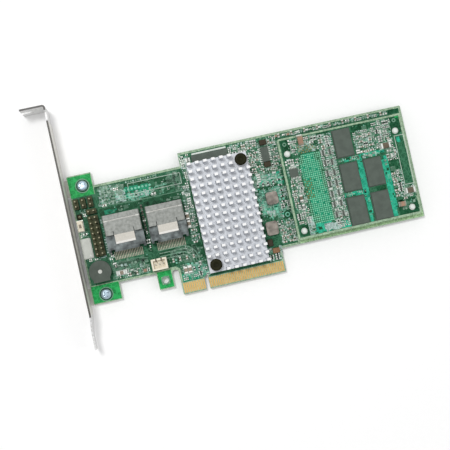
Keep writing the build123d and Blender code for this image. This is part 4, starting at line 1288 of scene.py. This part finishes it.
def memory_crowd():
    """Via fields, parts and prints at known places, then zones filled at random."""
    board = Crowd("memory_board", TOP, 0.6)
    # The large field lacks a via here and there, and part of its left side is a dull gold
    for column in range(11):
        for row in range(35):
            y = 20.2 + row
            if (column + row * 3) % 17:
                golden = column < 4 and 33 < y < 43 and (column * 2 + row) % 3
                board.via(57.6 + column, y, 0.33, P_GOLD if golden else P_VIA)
    # The small field above it is half gold and has more gaps
    for column in range(9):
        for row in range(4):
            if (column * 5 + row * 3) % 7:
                board.via(58.1 + column, 55.7 + row, 0.34, P_GOLD if (column + row) % 2 else P_GREY)
    board.taken.append((57.4, 66.8, 55.2, 59.2))
    board.taken.append((57.2, 67.9, 19.6, 54.9))
    board.frame(106.3, 111.0, 29.3, 54.0, 0.24)
    board.stand((
        (102.9, 20.2, 2.8, 2.4, 1.2, True, "orange"),
        (90.2, 58.9, 2.0, 1.3, 1.0, False, "white"),
        (95.0, 53.1, 1.8, 0.9, 0.8, True, "white"),
        (54.0, 33.8, 3.2, 1.6, 1.0, False, "brown"),
        (54.2, 29.2, 2.6, 1.4, 0.8, False, "grey"),
        (102.5, 31.2, 1.6, 1.6, 0.8, False, "grey"),
        (97.4, 50.2, 1.6, 0.8, 0.8, True, "grey"),
        (104.9, 46.0, 1.6, 0.8, 0.8, False, "tan"),
    ))
    for x, y in ((107.8, 61.8), (51.6, 61.4)):
        board.washer(x, y, 0.5, 1.0, 20, P_TRACE)
        board.taken.append(box_round(x, y, 3.2, 3.2))
    # Three columns of pads beside the resistor arrays
    for number in range(40):
        y = 16.0 + 1.18 * number
        for x0, x1 in ((68.0, 68.6), (70.6, 71.8), (74.0, 75.3)):
            if board.free(x0, x1, y - 0.2, y + 0.2, 0.1):
                kind = P_PALE if (number + round(x0)) % 3 else P_GREY
                board.pad(x0, x1, y - 0.22, y + 0.22, PAD_UP, kind)
    for style, *zone in (
        ("busy", 49.9, 57.0, 20.6, 54.0),
        ("busy", 53.0, 68.0, 55.0, 63.4),
        ("print", 54.8, 58.0, 15.0, 20.0, P_TEAL),
        ("quiet", 58.0, 66.0, 15.0, 19.6, P_TEAL),
        ("busy", 67.9, 75.4, 15.4, 62.6),
        ("busy", 85.6, 105.2, 48.9, 60.6),
        ("busy", 96.0, 106.0, 60.0, 63.4),
        ("quiet", 86.0, 96.0, 60.0, 63.4),
        ("quiet", 97.6, 100.2, 15.0, 45.6, P_TEAL),
        ("quiet", 85.2, 87.8, 15.0, 46.0, P_TEAL),
        ("print", 75.7, 85.0, 29.3, 31.4, P_TEAL),
        ("print", 75.7, 98.0, 46.3, 48.6, P_TEAL),
        ("busy", 100.4, 106.0, 23.4, 37.4),
        ("busy", 100.4, 106.0, 42.6, 48.6),
        ("quiet", 100.4, 106.0, 37.0, 43.0),
        ("quiet", 101.0, 111.0, 15.2, 22.6),
        ("pads", 104.0, 111.0, 22.4, 28.8),
    ):
        board.fill(style, *zone)
    board.done()


main_crowd()
memory_crowd()
